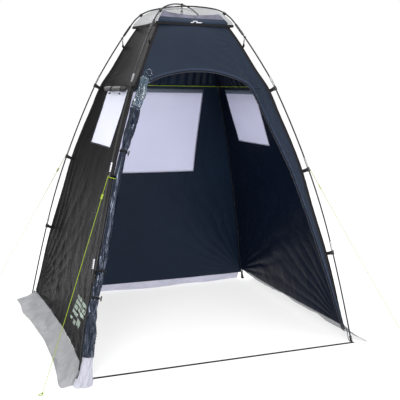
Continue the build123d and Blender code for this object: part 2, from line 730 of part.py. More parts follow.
# --- rolled door -------------------------------------------------------------
# centre line of the bundle down the front left corner: (x, y, z, radius)
def near(x, z, r, off=16.0):
    return (x, -(HD * interp(FAB, z)) - off, z, r)


ROLL_CLEAR = [near(-397.0, 1675.0, 27.0, 38.0), near(-413.0, 1626.0, 29.0, 34.0),
              near(-444.0, 1543.0, 30.0, 20.0), near(-461.0, 1500.0, 30.0)]
ROLL_NAVY = [near(-463.0, 1494.0, 30.0), near(-497.0, 1393.0, 27.0), near(-546.0, 1283.0, 25.0),
             near(-560.0, 1244.0, 20.5), near(-574.0, 1210.0, 22.5), near(-601.0, 1126.0, 24.0),
             near(-651.0, 931.0, 23.0), near(-691.0, 765.0, 24.0), near(-736.0, 578.0, 22.5, 19.0),
             (-768.0, -744.0, 496.0, 24.0), (-782.0, -753.0, 436.0, 22.0), (-802.0, -779.0, 366.0, 28.5),
             (-826.0, -807.0, 234.0, 30.0), (-847.0, -828.0, 122.0, 31.0)]


def roll_at(z):
    rows = ROLL_CLEAR + ROLL_NAVY
    for p, q in zip(rows, rows[1:]):
        if p[2] >= z >= q[2] and p[2] > q[2]:
            t = (p[2] - z) / (p[2] - q[2])
            return [p[i] + (q[i] - p[i]) * t for i in range(4)]
    return list(rows[-1])


def bundle(rows):
    """one closed ring-sided solid through the rows, ten flats round"""
    N = 10
    pts = [Vector(q[0], q[1], q[2]) for q in rows]
    verts = []
    for i, p in enumerate(pts):
        a = pts[max(0, i - 1)]
        b = pts[min(len(pts) - 1, i + 1)]
        d = (b - a).normalized()
        u = Vector(0, 1, 0)
        u = (u - d * u.dot(d)).normalized()
        w = d.cross(u)
        for k in range(N):
            t = 2 * math.pi * k / N
            q = p + u * (rows[i][3] * math.cos(t)) + w * (rows[i][3] * math.sin(t))
            verts.append((q.X, q.Y, q.Z))
    faces = []
    for i in range(len(pts) - 1):
        for k in range(N):
            a, b = i * N + k, i * N + (k + 1) % N
            c, e = a + N, b + N
            faces += [tri(verts[a], verts[b], verts[e]), tri(verts[a], verts[e], verts[c])]
    for k in range(1, N - 1):
        faces.append(tri(verts[0], verts[k + 1], verts[k]))
        e = (len(pts) - 1) * N
        faces.append(tri(verts[e], verts[e + k], verts[e + k + 1]))
    s = Solid(Shell(faces))
    if s.volume < 0:
        s = Solid(Shell([-f for f in faces]))
    return s


export("door_window_roll", bundle(ROLL_CLEAR))
export("door_roll", bundle(ROLL_NAVY))

# pale ground flap of the door, gathered at the bottom of the roll
flap_rows = [(-849.0, 112.0, 31.0, -831.0), (-868.0, 60.0, 35.0, -874.0), (-890.0, 0.6, 49.0, -938.0)]
N = 10
fv = []
for x, z, r, y in flap_rows:
    for k in range(N):
        t = 2 * math.pi * k / N
        fv.append((x + r * math.cos(t), max(-SKIRT_REACH_Y, y + r * math.sin(t)), z))
faces = []
for i in range(2):
    for k in range(N):
        a, b = i * N + k, i * N + (k + 1) % N
        faces += [tri(fv[a], fv[b], fv[b + N]), tri(fv[a], fv[b + N], fv[a + N])]
for k in range(1, N - 1):
    faces.append(tri(fv[0], fv[k + 1], fv[k]))
    faces.append(tri(fv[2 * N], fv[2 * N + k], fv[2 * N + k + 1]))
s = Solid(Shell(faces))
if s.volume < 0:
    s = Solid(Shell([-f for f in faces]))
print("door flap reach", min(q[1] for q in fv))
export("door_flap_roll", s)

# straps that hold the roll, two of them with a toggle
ties = []
door_togs = {}
for name, z in (("upper", 1244.0), ("middle", 578.0), ("lower", 436.0)):
    x, y, z, r = roll_at(z)
    c = Vector(x, y, z)
    q0, q1 = roll_at(z - 25), roll_at(z + 25)
    d = Vector(q1[0] - q0[0], q1[1] - q0[1], q1[2] - q0[2]).normalized()
    pl = Plane(origin=c, z_dir=d)
    band_ = pl * (Cylinder(r + 3.6, 12.0) - Cylinder(r + 2.2, 14.0))
    o2 = Vector(1, 0, 0)
    o2 = (o2 - d * o2.dot(d)).normalized()
    if name != "middle":
        base = c + o2 * (r + 3.4)
        stud = Plane(origin=base + o2 * 6.0, z_dir=o2) * Cylinder(1.4, 12.8)
        band_ += stud
        tc = base + o2 * 8.0
        bar = Plane(origin=tc, z_dir=d) * Cylinder(TOG_R, 30.0)
        bar += Plane(origin=tc, z_dir=o2) * Cylinder(4.4, 7.6)
        bar -= Plane(origin=tc, z_dir=o2) * Cylinder(1.46, 30.0)
        door_togs["door_toggle_" + name] = (tc, o2, bar)
    ties.append(band_)
export("door_ties", ties)
for n, (c, o2, bar) in door_togs.items():
    export(n, bar)
    print("joint", n, [round(q / 1000, 5) for q in (c.X, c.Y, c.Z)], [round(q, 5) for q in (o2.X, o2.Y, o2.Z)])

# --- zip slider and its pull -------------------------------------------------
za, zb_ = 110.0, 540.0


def strip_edge(z):
    """a point on the outside of the panel's straight lower edge"""
    lo, hi = (60.0, 330.0) if z < 330.0 else (330.0, 580.0)
    t = (z - lo) / (hi - lo)
    pts = []
    for q in (lo, hi):
        x = min(interp(DOOR, q), fx(q) - inset - 2.0)
        pts.append(Vector(x, front_y(x, q), q))
    return pts[0] + (pts[1] - pts[0]) * t


pa = strip_edge(za)
pb = strip_edge(zb_)
zdir = (pb - pa).normalized()
# outward normal of the front wall along the zip
side = Vector(1, 0, 0)
side = (side - zdir * side.dot(zdir)).normalized()
nrm = zdir.cross(side)
if nrm.Y > 0:
    nrm = nrm * -1
slider_c = pa + nrm * 2.6 - side * 8.6
pl = Plane(origin=slider_c, x_dir=side, z_dir=zdir)      # local -Y or +Y is the normal
sgn = 1.0 if pl.y_dir.dot(nrm) > 0 else -1.0
body = Box(11.0, 5.0, 16.0)
lug = Pos(0, sgn * 5.2, 2.0) * Box(3.4, 5.6, 8.0)
lug -= Pos(0, sgn * 5.8, 2.0) * Rot(0, 90, 0) * Cylinder(1.5, 10.0)
export("zip_slider", pl * (body + lug))
pin_o = pl.origin + pl.y_dir * (sgn * 5.8) + pl.z_dir * 2.0
pull = Pos(0, sgn * 5.8, 2.0) * Rot(0, 90, 0) * Cylinder(1.4, 8.6)
for q in (-1, 1):
    pull += Pos(q * 3.4, sgn * 5.8, -6.0) * Box(1.8, 3.0, 18.4)
pull += Pos(0, sgn * 5.8, -28.0) * Box(8.6, 2.4, 27.0)
export("zip_pull", pl * pull)
print("joint zip_slider dir", [round(q, 5) for q in (zdir.X, zdir.Y, zdir.Z)], "length", (pb - pa).length)
print("joint zip_pull pos", [round(q / 1000, 6) for q in (pin_o.X, pin_o.Y, pin_o.Z)],
      "axis", [round(q, 5) for q in (pl.x_dir.X, pl.x_dir.Y, pl.x_dir.Z)], "sgn", sgn)

# --- guy lines ---------------------------------------------------------------
GUYS = {"fl": (-1122.0, -962.0), "fr": (1246.0, -952.0), "bl": (-1152.0, 1196.0)}
guy_loops = []
for leg, (ex, ey) in GUYS.items():
    pl = clip_frame(leg, CLIP_LEVELS[1])
    start = pl.origin - pl.x_dir * 11.0 - Vector(0, 0, 4.0)
    end = Vector(ex, ey, 5.0)
    d = end - start
    mid = start + d * 0.52 - Vector(0, 0, 7.0)
    path = FilletPolyline(start, mid, end, radius=0.45 * 500.0 / math.tan(math.radians(
        (end - mid).get_angle(mid - start)) / 2))
    print("guy", leg, "arc radius", round(0.45 * 500.0 / math.tan(math.radians((end - mid).get_angle(mid - start)) / 2)),
          "length", round(path.length), [round(q, 1) for q in (start.X, start.Y, start.Z)],
          [round(q, 1) for q in (mid.X, mid.Y, mid.Z)], [round(q, 1) for q in (end.X, end.Y, end.Z)])
    export("guy_line_" + leg, rod(path, GUY_D / 2))
    # runner: a small flat plate on the first straight run
    u = (mid - start).normalized()
    rc_ = start + u * 130.0
    s_ = u.cross(Vector(0, 0, 1)).normalized()
    rp = Plane(origin=rc_, x_dir=s_, z_dir=u)
    runner = rp * (Box(11.0, 6.4, 30.0) - Cylinder(GUY_D / 2 + 0.35, 40.0))
    export("guy_runner_" + leg, runner)
    # loop tied in the end, for a peg
    out = Vector(d.X, d.Y, 0).normalized()
    guy_loops.append(Pos(end.X, end.Y, 5.0) * Cylinder(4.5, 9.0)
                     + Pos(end.X + out.X * 14, end.Y + out.Y * 14, 3.0) * Torus(11.0, 2.0))
    print("joint guy_runner_" + leg, [round(q / 1000, 5) for q in (rc_.X, rc_.Y, rc_.Z)], [round(q, 6) for q in (u.X, u.Y, u.Z)])

export("guy_loops", guy_loops)

# --- washing line inside, corner to corner ----------------------------------
lz = LINE_Z
cxx, cyy = fx(lz) - 34.0, fy(lz) - 34.0
p_bl = Vector(-cxx, cyy, lz)
p_br = Vector(cxx, cyy, lz)
p_fr = Vector(cxx, -cyy + 6.0, lz)
LR = 16.0
path = FilletPolyline(p_bl, p_br, p_fr, radius=LR)
print("washing line radius", LR, "length", round(path.length),
      [[round(q, 1) for q in (p.X, p.Y, p.Z)] for p in (p_bl, p_br, p_fr)])
export("washing_line", rod(path, LINE_D / 2))
# small tabs that hold it in the corners
lt = []
for p, q in ((p_bl, (-1, 1)), (p_br, (1, 1)), (p_fr, (1, -1))):
    dx, dy = q[0] / math.sqrt(2), q[1] / math.sqrt(2)
    if p is p_br:
        base = Vector(p.X - 2.0, p.Y - 2.0, lz)
    else:
        base = p
    pl = Plane(origin=Vector(base.X + dx * 12.0, base.Y + dy * 12.0, lz), x_dir=(dx, dy, 0), z_dir=(0, 0, 1))
    lt.append(pl * Box(30.0, 3.0, 14.0))
cutter = rod(path, LINE_D / 2 + 0.25)
lt = [x - cutter for x in lt]
export("line_tabs", lt)
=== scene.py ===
import math

import bmesh
import bpy
import numpy as np
from mathutils import Matrix, Vector


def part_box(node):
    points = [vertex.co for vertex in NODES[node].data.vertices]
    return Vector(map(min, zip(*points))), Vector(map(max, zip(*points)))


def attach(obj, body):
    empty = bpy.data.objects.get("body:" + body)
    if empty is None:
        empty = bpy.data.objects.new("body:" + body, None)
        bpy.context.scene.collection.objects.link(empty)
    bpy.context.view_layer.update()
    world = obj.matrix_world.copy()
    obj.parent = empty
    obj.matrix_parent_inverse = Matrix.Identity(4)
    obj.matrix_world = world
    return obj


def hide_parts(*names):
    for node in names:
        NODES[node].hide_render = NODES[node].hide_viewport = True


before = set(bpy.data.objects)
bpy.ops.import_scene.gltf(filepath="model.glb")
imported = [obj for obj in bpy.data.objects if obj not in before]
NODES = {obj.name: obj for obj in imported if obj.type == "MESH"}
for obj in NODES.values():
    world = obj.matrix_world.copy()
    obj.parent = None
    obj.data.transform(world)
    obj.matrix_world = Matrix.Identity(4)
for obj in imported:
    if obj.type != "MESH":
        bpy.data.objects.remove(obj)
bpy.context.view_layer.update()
scene = bpy.context.scene

# ---------------------------------------------------------------------------
# camera
# ---------------------------------------------------------------------------
YAW, PITCH, ROLL = math.radians(22.162), math.radians(-8.8949), math.radians(0.9566)
fwd = Vector((math.sin(YAW) * math.cos(PITCH), math.cos(YAW) * math.cos(PITCH), math.sin(PITCH)))
right0 = Vector((math.cos(YAW), -math.sin(YAW), 0.0))
up0 = right0.cross(fwd)
cam_right = right0 * math.cos(ROLL) + up0 * math.sin(ROLL)
cam_up = up0 * math.cos(ROLL) - right0 * math.sin(ROLL)
m = Matrix((cam_right, cam_up, -fwd)).transposed().to_4x4()
m.translation = Vector((-1.7041, -4.5610, 1.6132))
cam_data = bpy.data.cameras.new("camera")
cam_data.sensor_width = 36.0
cam_data.lens = 708.295 / 400.0 * 36.0
cam_data.clip_end = 100.0
cam = bpy.data.objects.new("camera", cam_data)
scene.collection.objects.link(cam)
cam.matrix_world = m
scene.camera = cam
scene.view_settings.view_transform = "Standard"


# ---------------------------------------------------------------------------
# node helpers for materials
# ---------------------------------------------------------------------------
def lin(r, g, b):
    out = []
    for c in (r, g, b):
        c = c / 255.0
        out.append(c / 12.92 if c <= 0.04045 else ((c + 0.055) / 1.055) ** 2.4)
    return tuple(out) + (1.0,)


class Mat:
    def __init__(self, name):
        self.m = bpy.data.materials.new(name)
        self.m.use_nodes = True
        self.t = self.m.node_tree
        self.bsdf = self.t.nodes["Principled BSDF"]
        self.out = self.t.nodes["Material Output"]
        self._uv = None
        self._obj = None

    def node(self, kind, **values):
        n = self.t.nodes.new(kind)
        for k, v in values.items():
            if hasattr(n, k):
                setattr(n, k, v)
            else:
                n.inputs[k.replace("_", " ")].default_value = v
        return n

    def link(self, a, b):
        self.t.links.new(a, b)

    def set(self, **values):
        for k, v in values.items():
            self.bsdf.inputs[k.replace("_", " ")].default_value = v
        return self

    @property
    def uv(self):
        if self._uv is None:
            self._uv = self.node("ShaderNodeTexCoord")
        return self._uv.outputs["UV"]

    @property
    def obj(self):
        if self._obj is None:
            self._obj = self.node("ShaderNodeTexCoord")
        return self._obj.outputs["Object"]

    def mapping(self, vec, scale=(1, 1, 1), rot=(0, 0, 0), loc=(0, 0, 0)):
        n = self.node("ShaderNodeMapping")
        n.inputs["Scale"].default_value = scale
        n.inputs["Rotation"].default_value = rot
        n.inputs["Location"].default_value = loc
        self.link(vec, n.inputs["Vector"])
        return n.outputs["Vector"]

    def noise(self, vec, scale, detail=4.0, rough=0.55, distortion=0.0):
        n = self.node("ShaderNodeTexNoise")
        n.inputs["Scale"].default_value = scale
        n.inputs["Detail"].default_value = detail
        n.inputs["Roughness"].default_value = rough
        n.inputs["Distortion"].default_value = distortion
        self.link(vec, n.inputs["Vector"])
        return n.outputs["Fac"]

    def wave(self, vec, scale, axis="X", distortion=0.0, dscale=1.0):
        n = self.node("ShaderNodeTexWave")
        n.wave_type = "BANDS"
        n.bands_direction = axis
        n.inputs["Scale"].default_value = scale
        n.inputs["Distortion"].default_value = distortion
        n.inputs["Detail Scale"].default_value = dscale
        self.link(vec, n.inputs["Vector"])
        return n.outputs["Fac"]

    def math(self, op, a, b=0.0, clamp=False):
        n = self.node("ShaderNodeMath")
        n.operation = op
        n.use_clamp = clamp
        for k, v in enumerate((a, b)):
            if isinstance(v, (int, float)):
                n.inputs[k].default_value = v
            else:
                self.link(v, n.inputs[k])
        return n.outputs[0]

    def ramp(self, fac, stops):
        n = self.node("ShaderNodeValToRGB")
        cr = n.color_ramp
        while len(cr.elements) < len(stops):
            cr.elements.new(0.5)
        for e, (p, c) in zip(cr.elements, stops):
            e.position = p
            e.color = c if len(c) == 4 else tuple(c) + (1.0,)
        self.link(fac, n.inputs["Fac"])
        return n.outputs["Color"]

    def mix(self, fac, a, b):
        n = self.node("ShaderNodeMix")
        n.data_type = "RGBA"
        if isinstance(fac, (int, float)):
            n.inputs[0].default_value = fac
        else:
            self.link(fac, n.inputs[0])
        for idx, v in ((6, a), (7, b)):
            if isinstance(v, tuple):
                n.inputs[idx].default_value = v
            else:
                self.link(v, n.inputs[idx])
        return n.outputs[2]

    def bump(self, *layers):
        """layers: (height, strength, distance in metres); the last is the finest"""
        prev = None
        for h, s, d in layers:
            n = self.node("ShaderNodeBump")
            n.inputs["Strength"].default_value = s
            n.inputs["Distance"].default_value = d
            self.link(h, n.inputs["Height"])
            if prev is not None:
                self.link(prev, n.inputs["Normal"])
            prev = n.outputs["Normal"]
        self.link(prev, self.bsdf.inputs["Normal"])
        return self

    def colour(self, sock):
        self.link(sock, self.bsdf.inputs["Base Color"])
        return self

    def rough(self, sock):
        self.link(sock, self.bsdf.inputs["Roughness"])
        return self


def shade(c, k):
    return tuple(min(1.0, q * k) for q in c[:3]) + (1.0,)


def cloth(name, colour, vary=0.18, rough=0.52, spec=0.4, crinkle=0.35, crinkle_scale=28.0,
          weave=0.25, sheen=0.08, calm_above=None):
    """thin coated woven polyester; the texture runs in metres of cloth"""
    k = Mat(name)
    big = k.noise(k.uv, 2.3, 3.0, 0.5)
    fine = k.noise(k.uv, 60.0, 3.0, 0.6)
    streaks = k.noise(k.mapping(k.uv, (9.0, 0.7, 1.0)), 2.0, 4.0, 0.6)
    tone = k.math("ADD", k.math("MULTIPLY", big, 0.62), k.math("MULTIPLY", streaks, 0.23))
    tone = k.math("ADD", tone, k.math("MULTIPLY", fine, 0.15), clamp=True)
    k.colour(k.ramp(tone, [(0.30, shade(colour, 1 - vary)), (0.72, shade(colour, 1 + vary))]))
    wv = k.math("MULTIPLY", k.wave(k.uv, 520.0, "X"), k.wave(k.uv, 520.0, "Y"))
    rip = k.math("MAXIMUM", k.math("POWER", k.wave(k.uv, 62.0, "X"), 18.0),
                 k.math("POWER", k.wave(k.uv, 62.0, "Y"), 18.0))
    cr = k.noise(k.uv, crinkle_scale, 2.0, 0.5, 0.6)
    cr2 = k.noise(k.mapping(k.uv, (1.0, 0.45, 1.0), (0, 0, 0.35)), crinkle_scale * 0.35, 4.0, 0.6, 1.4)
    if calm_above is not None:
        # tight and smooth above this height, creased below it
        sep = k.node("ShaderNodeSeparateXYZ")
        k.link(k.uv, sep.inputs[0])
        mask = k.math("MULTIPLY", k.math("SUBTRACT", calm_above, sep.outputs[1]), 2.5, clamp=True)
        cr, cr2 = k.math("MULTIPLY", cr, mask), k.math("MULTIPLY", cr2, mask)
    k.bump((cr2, crinkle, 0.010), (cr, crinkle * 0.8, 0.003),
           (k.math("ADD", k.math("MULTIPLY", wv, 0.5), k.math("MULTIPLY", rip, 0.5)), weave, 0.0002))
    gloss = k.ramp(fine, [(0.3, (rough - 0.07,) * 3), (0.7, (rough + 0.08,) * 3)])
    if calm_above is not None:
        gloss = k.mix(mask, k.ramp(fine, [(0.3, (0.46,) * 3), (0.7, (0.50,) * 3)]), gloss)
    k.rough(gloss)
    k.set(Specular_IOR_Level=spec, Sheen_Weight=sheen, Sheen_Roughness=0.5)
    return k


def plain(name, colour, rough=0.45, metallic=0.0, spec=0.5, grain=0.12, grain_scale=900.0, vary=0.1, coat=0.0):
    """moulded or coated hard part with a fine grain and slight wear"""
    k = Mat(name)
    g = k.noise(k.obj, grain_scale, 3.0, 0.6)
    w = k.noise(k.obj, 60.0, 4.0, 0.6)
    k.colour(k.ramp(w, [(0.3, shade(colour, 1 - vary)), (0.75, shade(colour, 1 + vary))]))
    k.rough(k.ramp(w, [(0.3, (max(0.05, rough - 0.08),) * 3), (0.7, (min(1.0, rough + 0.1),) * 3)]))
    k.bump((g, grain, 0.0002))
    k.set(Metallic=metallic, Specular_IOR_Level=spec, Coat_Weight=coat)
    return k


def webbing(name, colour, rough=0.75):
    k = Mat(name)
    vec = k.mapping(k.obj, (1, 1, 1), (0.6, 0.3, 0.785))
    a = k.wave(vec, 330.0, "X")
    b = k.wave(vec, 330.0, "Z")
    w = k.math("MULTIPLY", a, b)
    k.colour(k.ramp(w, [(0.0, shade(colour, 0.6)), (0.6, shade(colour, 1.25))]))
    k.bump((w, 0.6, 0.0004))
    k.set(Roughness=rough, Specular_IOR_Level=0.08, Sheen_Weight=0.03)
    return k


def film(name, colour, alpha=0.6, rough=0.35, trans=0.6, crinkle=0.2, scale=24.0, vary=0.04, patch=1.6, band=None):
    """milky plastic film: part see-through, part lit from behind"""
    k = Mat(name)
    big = k.noise(k.uv, patch, 5.0, 0.6, 0.5)
    cr = k.noise(k.uv, scale, 5.0, 0.6, 0.9)
    tone = k.ramp(big, [(0.3, shade(colour, 1 - vary)), (0.7, shade(colour, 1 + vary))])
    t = k.node("ShaderNodeBsdfTranslucent")
    if band is not None:
        # the top of the pane is painted grey: painted shade of the rolled blind that hangs behind the film
        sep = k.node("ShaderNodeSeparateXYZ")
        k.link(k.uv, sep.inputs[0])
        edge = k.math("SMOOTH_MIN", k.math("MULTIPLY", k.math("SUBTRACT", sep.outputs[1], band), 260.0), 1.0)
        up = k.math("MAXIMUM", edge, 0.0, clamp=True)
        tone = k.mix(up, tone, lin(112, 122, 138))
    k.link(tone, t.inputs["Color"])
    k.colour(tone)
    k.bump((k.noise(k.uv, scale * 0.22, 3.0, 0.5, 0.6), crinkle, 0.008), (cr, crinkle, 0.0016))
    k.set(Roughness=rough, Specular_IOR_Level=0.4)
    mx = k.node("ShaderNodeMixShader")
    mx.inputs[0].default_value = trans
    k.link(k.bsdf.outputs[0], mx.inputs[1])
    k.link(t.outputs[0], mx.inputs[2])
    tr = k.node("ShaderNodeBsdfTransparent")
    tr.inputs["Color"].default_value = (0.97, 0.97, 1.0, 1.0)
    mx2 = k.node("ShaderNodeMixShader")
    mx2.inputs[0].default_value = alpha
    k.link(tr.outputs[0], mx2.inputs[1])
    k.link(mx.outputs[0], mx2.inputs[2])
    k.link(mx2.outputs[0], k.out.inputs["Surface"])
    return k


CHARCOAL = cloth("charcoal_cloth", lin(16, 15, 17), rough=0.26, spec=0.010, crinkle=0.30, weave=0.0, sheen=0.0, calm_above=1.25)
CHARCOAL_IN = cloth("charcoal_cloth_inner", lin(14, 15, 18), rough=0.6, spec=0.08, sheen=0.0)
NAVY = cloth("navy_cloth", lin(24, 32, 45), rough=0.5, spec=0.10, crinkle=0.22, sheen=0.0)
NAVY_IN = cloth("navy_cloth_inner", lin(15, 20, 30), rough=0.6, spec=0.1, sheen=0.0)
DARK = cloth("dark_navy_inner", lin(18, 29, 45), rough=0.42, spec=0.12, crinkle=0.30, sheen=0.0)
BLACKISH = cloth("blackish_inner", lin(13, 20, 34), rough=0.32, spec=0.030, crinkle=0.25, sheen=0.0)
OUTSIDE = cloth("outer_charcoal", lin(22, 21, 23), rough=0.40, spec=0.02, crinkle=0.25, weave=0.03, sheen=0.0)
GLOSSY = cloth("glossy_navy", lin(14, 20, 33), rough=0.17, spec=0.48, crinkle=0.12, crinkle_scale=22.0, vary=0.25, sheen=0.0)
GLOSSY.set(Specular_Tint=(0.72, 0.80, 1.0, 1.0))
BLIND = cloth("blind_cloth", lin(27, 27, 31), rough=0.5, spec=0.1, crinkle=0.6, crinkle_scale=60.0)
# the left pane, seen from outside, gets a lighter colour than the other panes of the same film: painted reflection
WINDOW_LEFT_REFLECT = film("window_film_left_painted_reflection", lin(232, 234, 246), alpha=0.94, rough=0.3, trans=0.30, crinkle=0.05, scale=9.0)
# the back and right panes get a painted shade band at their top, from the rolled blind behind them
WINDOW = film("window_film", lin(210, 211, 227), alpha=0.92, rough=0.4, trans=0.55, crinkle=0.05, scale=9.0, band=1.582)
# the back skirt lies in the tent's shadow and gets a lighter colour than the other skirts: painted light
SKIRT_BACK_LIT = film("skirt_film_back_painted_light", lin(200, 200, 214), alpha=0.90, rough=0.36, trans=0.30, crinkle=1.0, scale=22.0, vary=0.10, patch=9.0)
SKIRT = film("skirt_film", lin(164, 165, 168), alpha=0.90, rough=0.36, trans=0.40, crinkle=1.0, scale=22.0, vary=0.16, patch=9.0)
FLAP = film("flap_film", lin(186, 186, 198), alpha=0.95, rough=0.3, trans=0.35, crinkle=0.9, scale=40.0)
CLEAR = film("clear_film", lin(58, 76, 90), alpha=0.80, rough=0.05, trans=0.10, crinkle=0.5, scale=26.0, vary=0.5, patch=30.0)
CLEAR.set(Specular_IOR_Level=0.9)
TAPE = webbing("black_tape", lin(26, 26, 28))
POLE = plain("pole_black", lin(26, 26, 28), rough=0.34, spec=0.3, grain=0.08)
STEEL = plain("ferrule_steel", lin(150, 151, 154), rough=0.28, metallic=1.0, grain=0.05)
BLACK = plain("black_moulding", lin(20, 20, 22), rough=0.42, grain=0.25, grain_scale=700.0)
GREEN = webbing("neon_cord", lin(142, 164, 40), rough=0.55)
ELASTIC = webbing("black_elastic", lin(22, 22, 24))
RUNNER = plain("runner_plastic", lin(128, 148, 44), rough=0.35, spec=0.3, grain=0.2)
ZIP = webbing("zip_tape", lin(24, 28, 40))
BIND = webbing("binding_tape", lin(30, 29, 31))


def mesh_net(name):
    """insect mesh: fine square net, see-through between its threads"""
    k = Mat(name)
    a = k.math("POWER", k.wave(k.uv, 300.0, "X"), 1.2)
    b = k.math("POWER", k.wave(k.uv, 300.0, "Y"), 1.2)
    net = k.math("MAXIMUM", a, b)
    big = k.noise(k.uv, 6.0, 3.0, 0.6)
    alpha = k.math("ADD", k.math("MULTIPLY", net, 0.30), k.math("MULTIPLY", big, 0.28), clamp=True)
    k.colour(k.ramp(big, [(0.3, lin(70, 74, 80)), (0.7, lin(120, 124, 130))]))
    k.link(alpha, k.bsdf.inputs["Alpha"])
    k.set(Roughness=0.6, Specular_IOR_Level=0.3)
    return k


NET = mesh_net("roof_net")


def set_mat(node, k):
    o = NODES[node]
    o.data.materials.clear()
    o.data.materials.append(k.m)
    for p in o.data.polygons:
        p.material_index = 0


# ---------------------------------------------------------------------------
# cords first: guy lines and the washing line
# ---------------------------------------------------------------------------
def cord_curve(name, pts, diameter, mat):
    c = bpy.data.curves.new(name, "CURVE")
    c.dimensions = "3D"
    s = c.splines.new("NURBS")
    s.points.add(len(pts) - 1)
    for p, q in zip(s.points, pts):
        p.co = (q[0], q[1], q[2], 1.0)
    s.order_u = 3
    s.use_endpoint_u = True
    c.resolution_u = 16
    c.bevel_depth = diameter / 2
    c.bevel_resolution = 4
    c.use_fill_caps = True
    c.materials.append(mat.m)
    o = bpy.data.objects.new(name, c)
    scene.collection.objects.link(o)
    return o


GUYS = {
    "fl": ([(-0.6684, -0.6127, 1.1131), (-0.9043, -0.7943, 0.5299), (-1.122, -0.962, 0.005)], 1.247),
    "fr": ([(0.6684, -0.6127, 1.1131), (0.9688, -0.7891, 0.5299), (1.246, -0.952, 0.005)], 1.295),
    "bl": ([(-0.6684, 0.6127, 1.1131), (-0.9199, 0.9160, 0.5299), (-1.152, 1.196, 0.005)], 1.342),
}
for leg, (pts, length) in GUYS.items():
    # two more control points, on the same two runs, keep the cord straight where the runner slides
    p0, p1, p2 = (Vector(q) for q in pts)
    g = cord_curve("guy_cord_" + leg, [pts[0], tuple(p0.lerp(p1, 0.75)), pts[1], tuple(p1.lerp(p2, 0.25)), pts[2]], 0.003, GREEN)
    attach(g, "root")
    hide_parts("guy_line_" + leg)

line_pts = [(-0.4127, 0.3755, 1.634), (0.4127, 0.3755, 1.634), (0.4127, -0.3695, 1.634)]
# extra control points hold the runs straight up to the small turn in the corner
line_pts = [line_pts[0], (0.3807, 0.3755, 1.634), line_pts[1], (0.4127, 0.3435, 1.634), line_pts[2]]
wl = cord_curve("washing_cord", line_pts, 0.005, GREEN)
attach(wl, "root")
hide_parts("washing_line")

# ---------------------------------------------------------------------------
# the tent's form, in metres
# ---------------------------------------------------------------------------
HW, HD = 0.900, 0.825
DIAG = math.hypot(HW, HD)
FAB_Z = np.array([0, 30, 200, 400, 580, 870, 1113, 1300, 1455, 1628, 1742, 1800, 1900, 1961, 2030]) / 1000
FAB_F = np.array([0.985, 0.976, 0.933, 0.890, 0.846, 0.763, 0.6965, 0.630, 0.568, 0.500, 0.431, 0.399, 0.344, 0.307, 0.262])
SAG_Z = np.array([0, 600, 1300, 1650, 1850, 2030]) / 1000
SAG_V = np.array([26.0, 30.0, 30.0, 26.0, 14.0, 4.0]) / 1000
HEM = {"left": 0.046, "right": 0.096, "back": 0.064}
TOP = 2.030
WIN = {"left": (0.240, 1.243, 1.603), "right": (0.240, 1.243, 1.607), "back": (0.325, 0.983, 1.607)}


def smooth_tab(xs, ys):
    """shape-keeping cubic through a table"""
    h = np.diff(xs)
    d = np.diff(ys) / h
    mm = np.zeros(len(xs))
    mm[0], mm[-1] = d[0], d[-1]
    for i in range(1, len(xs) - 1):
        if d[i - 1] * d[i] > 0:
            w1, w2 = 2 * h[i] + h[i - 1], h[i] + 2 * h[i - 1]
            mm[i] = (w1 + w2) / (w1 / d[i - 1] + w2 / d[i])

    def f(x):
        x = np.clip(np.asarray(x, float), xs[0], xs[-1])
        i = np.clip(np.searchsorted(xs, x) - 1, 0, len(xs) - 2)
        t = (x - xs[i]) / h[i]
        return ((2 * t ** 3 - 3 * t ** 2 + 1) * ys[i] + (t ** 3 - 2 * t ** 2 + t) * h[i] * mm[i]
                + (-2 * t ** 3 + 3 * t ** 2) * ys[i + 1] + (t ** 3 - t ** 2) * h[i] * mm[i + 1])
    return f


fab = smooth_tab(FAB_Z, FAB_F)
sag_f = smooth_tab(SAG_Z, SAG_V)


def fx(z):
    return HW * fab(z)


def fy(z):
    return HD * fab(z)


# --- repeatable noise ---------------------------------------------------------
_rng = np.random.RandomState(7)
_perm = _rng.permutation(256)
_perm = np.concatenate([_perm, _perm])
_grad = _rng.uniform(-1, 1, 256)


def noise2(x, y, seed=0):
    x = np.asarray(x, float) + seed * 17.31
    y = np.asarray(y, float) + seed * 9.17
    xi, yi = np.floor(x).astype(int), np.floor(y).astype(int)
    xf, yf = x - xi, y - yi
    u = xf * xf * xf * (xf * (xf * 6 - 15) + 10)
    v = yf * yf * yf * (yf * (yf * 6 - 15) + 10)

    def h(a, b):
        return _grad[_perm[(_perm[a & 255] + b) & 255]]
    n00, n10, n01, n11 = h(xi, yi), h(xi + 1, yi), h(xi, yi + 1), h(xi + 1, yi + 1)
    return (n00 * (1 - u) + n10 * u) * (1 - v) + (n01 * (1 - u) + n11 * u) * v


def fbm(x, y, seed=0, octaves=4, gain=0.5):
    out, a, f = 0.0, 1.0, 1.0
    for k in range(octaves):
        out = out + a * noise2(x * f, y * f, seed + k * 3)
        a *= gain
        f *= 2.03
    return out


def fold(t, sharp=1.0):
    """one smooth ridge per unit of t, 0..1"""
    r = 0.5 + 0.5 * np.cos(2 * math.pi * t)
    return r ** sharp


def window(x, a, b, soft):
    """1 between a and b, falling off over soft outside"""
    return np.clip((x - a) / soft + 1, 0, 1) * np.clip((b - x) / soft + 1, 0, 1)


def smoothstep(x, a, b):
    t = np.clip((x - a) / (b - a), 0, 1)
    return t * t * (3 - 2 * t)


def rays(a, z, a0, z0, n, seed, warp=0.3):
    """folds running out from a point: their height at (a, z)"""
    ang = np.arctan2(z - z0, a - a0)
    r = np.hypot(z - z0, a - a0)
    t = ang / math.pi * n + warp * noise2(a * 5, z * 5, seed) + 0.15 * r
    return fold(t, 2.2), r, ang


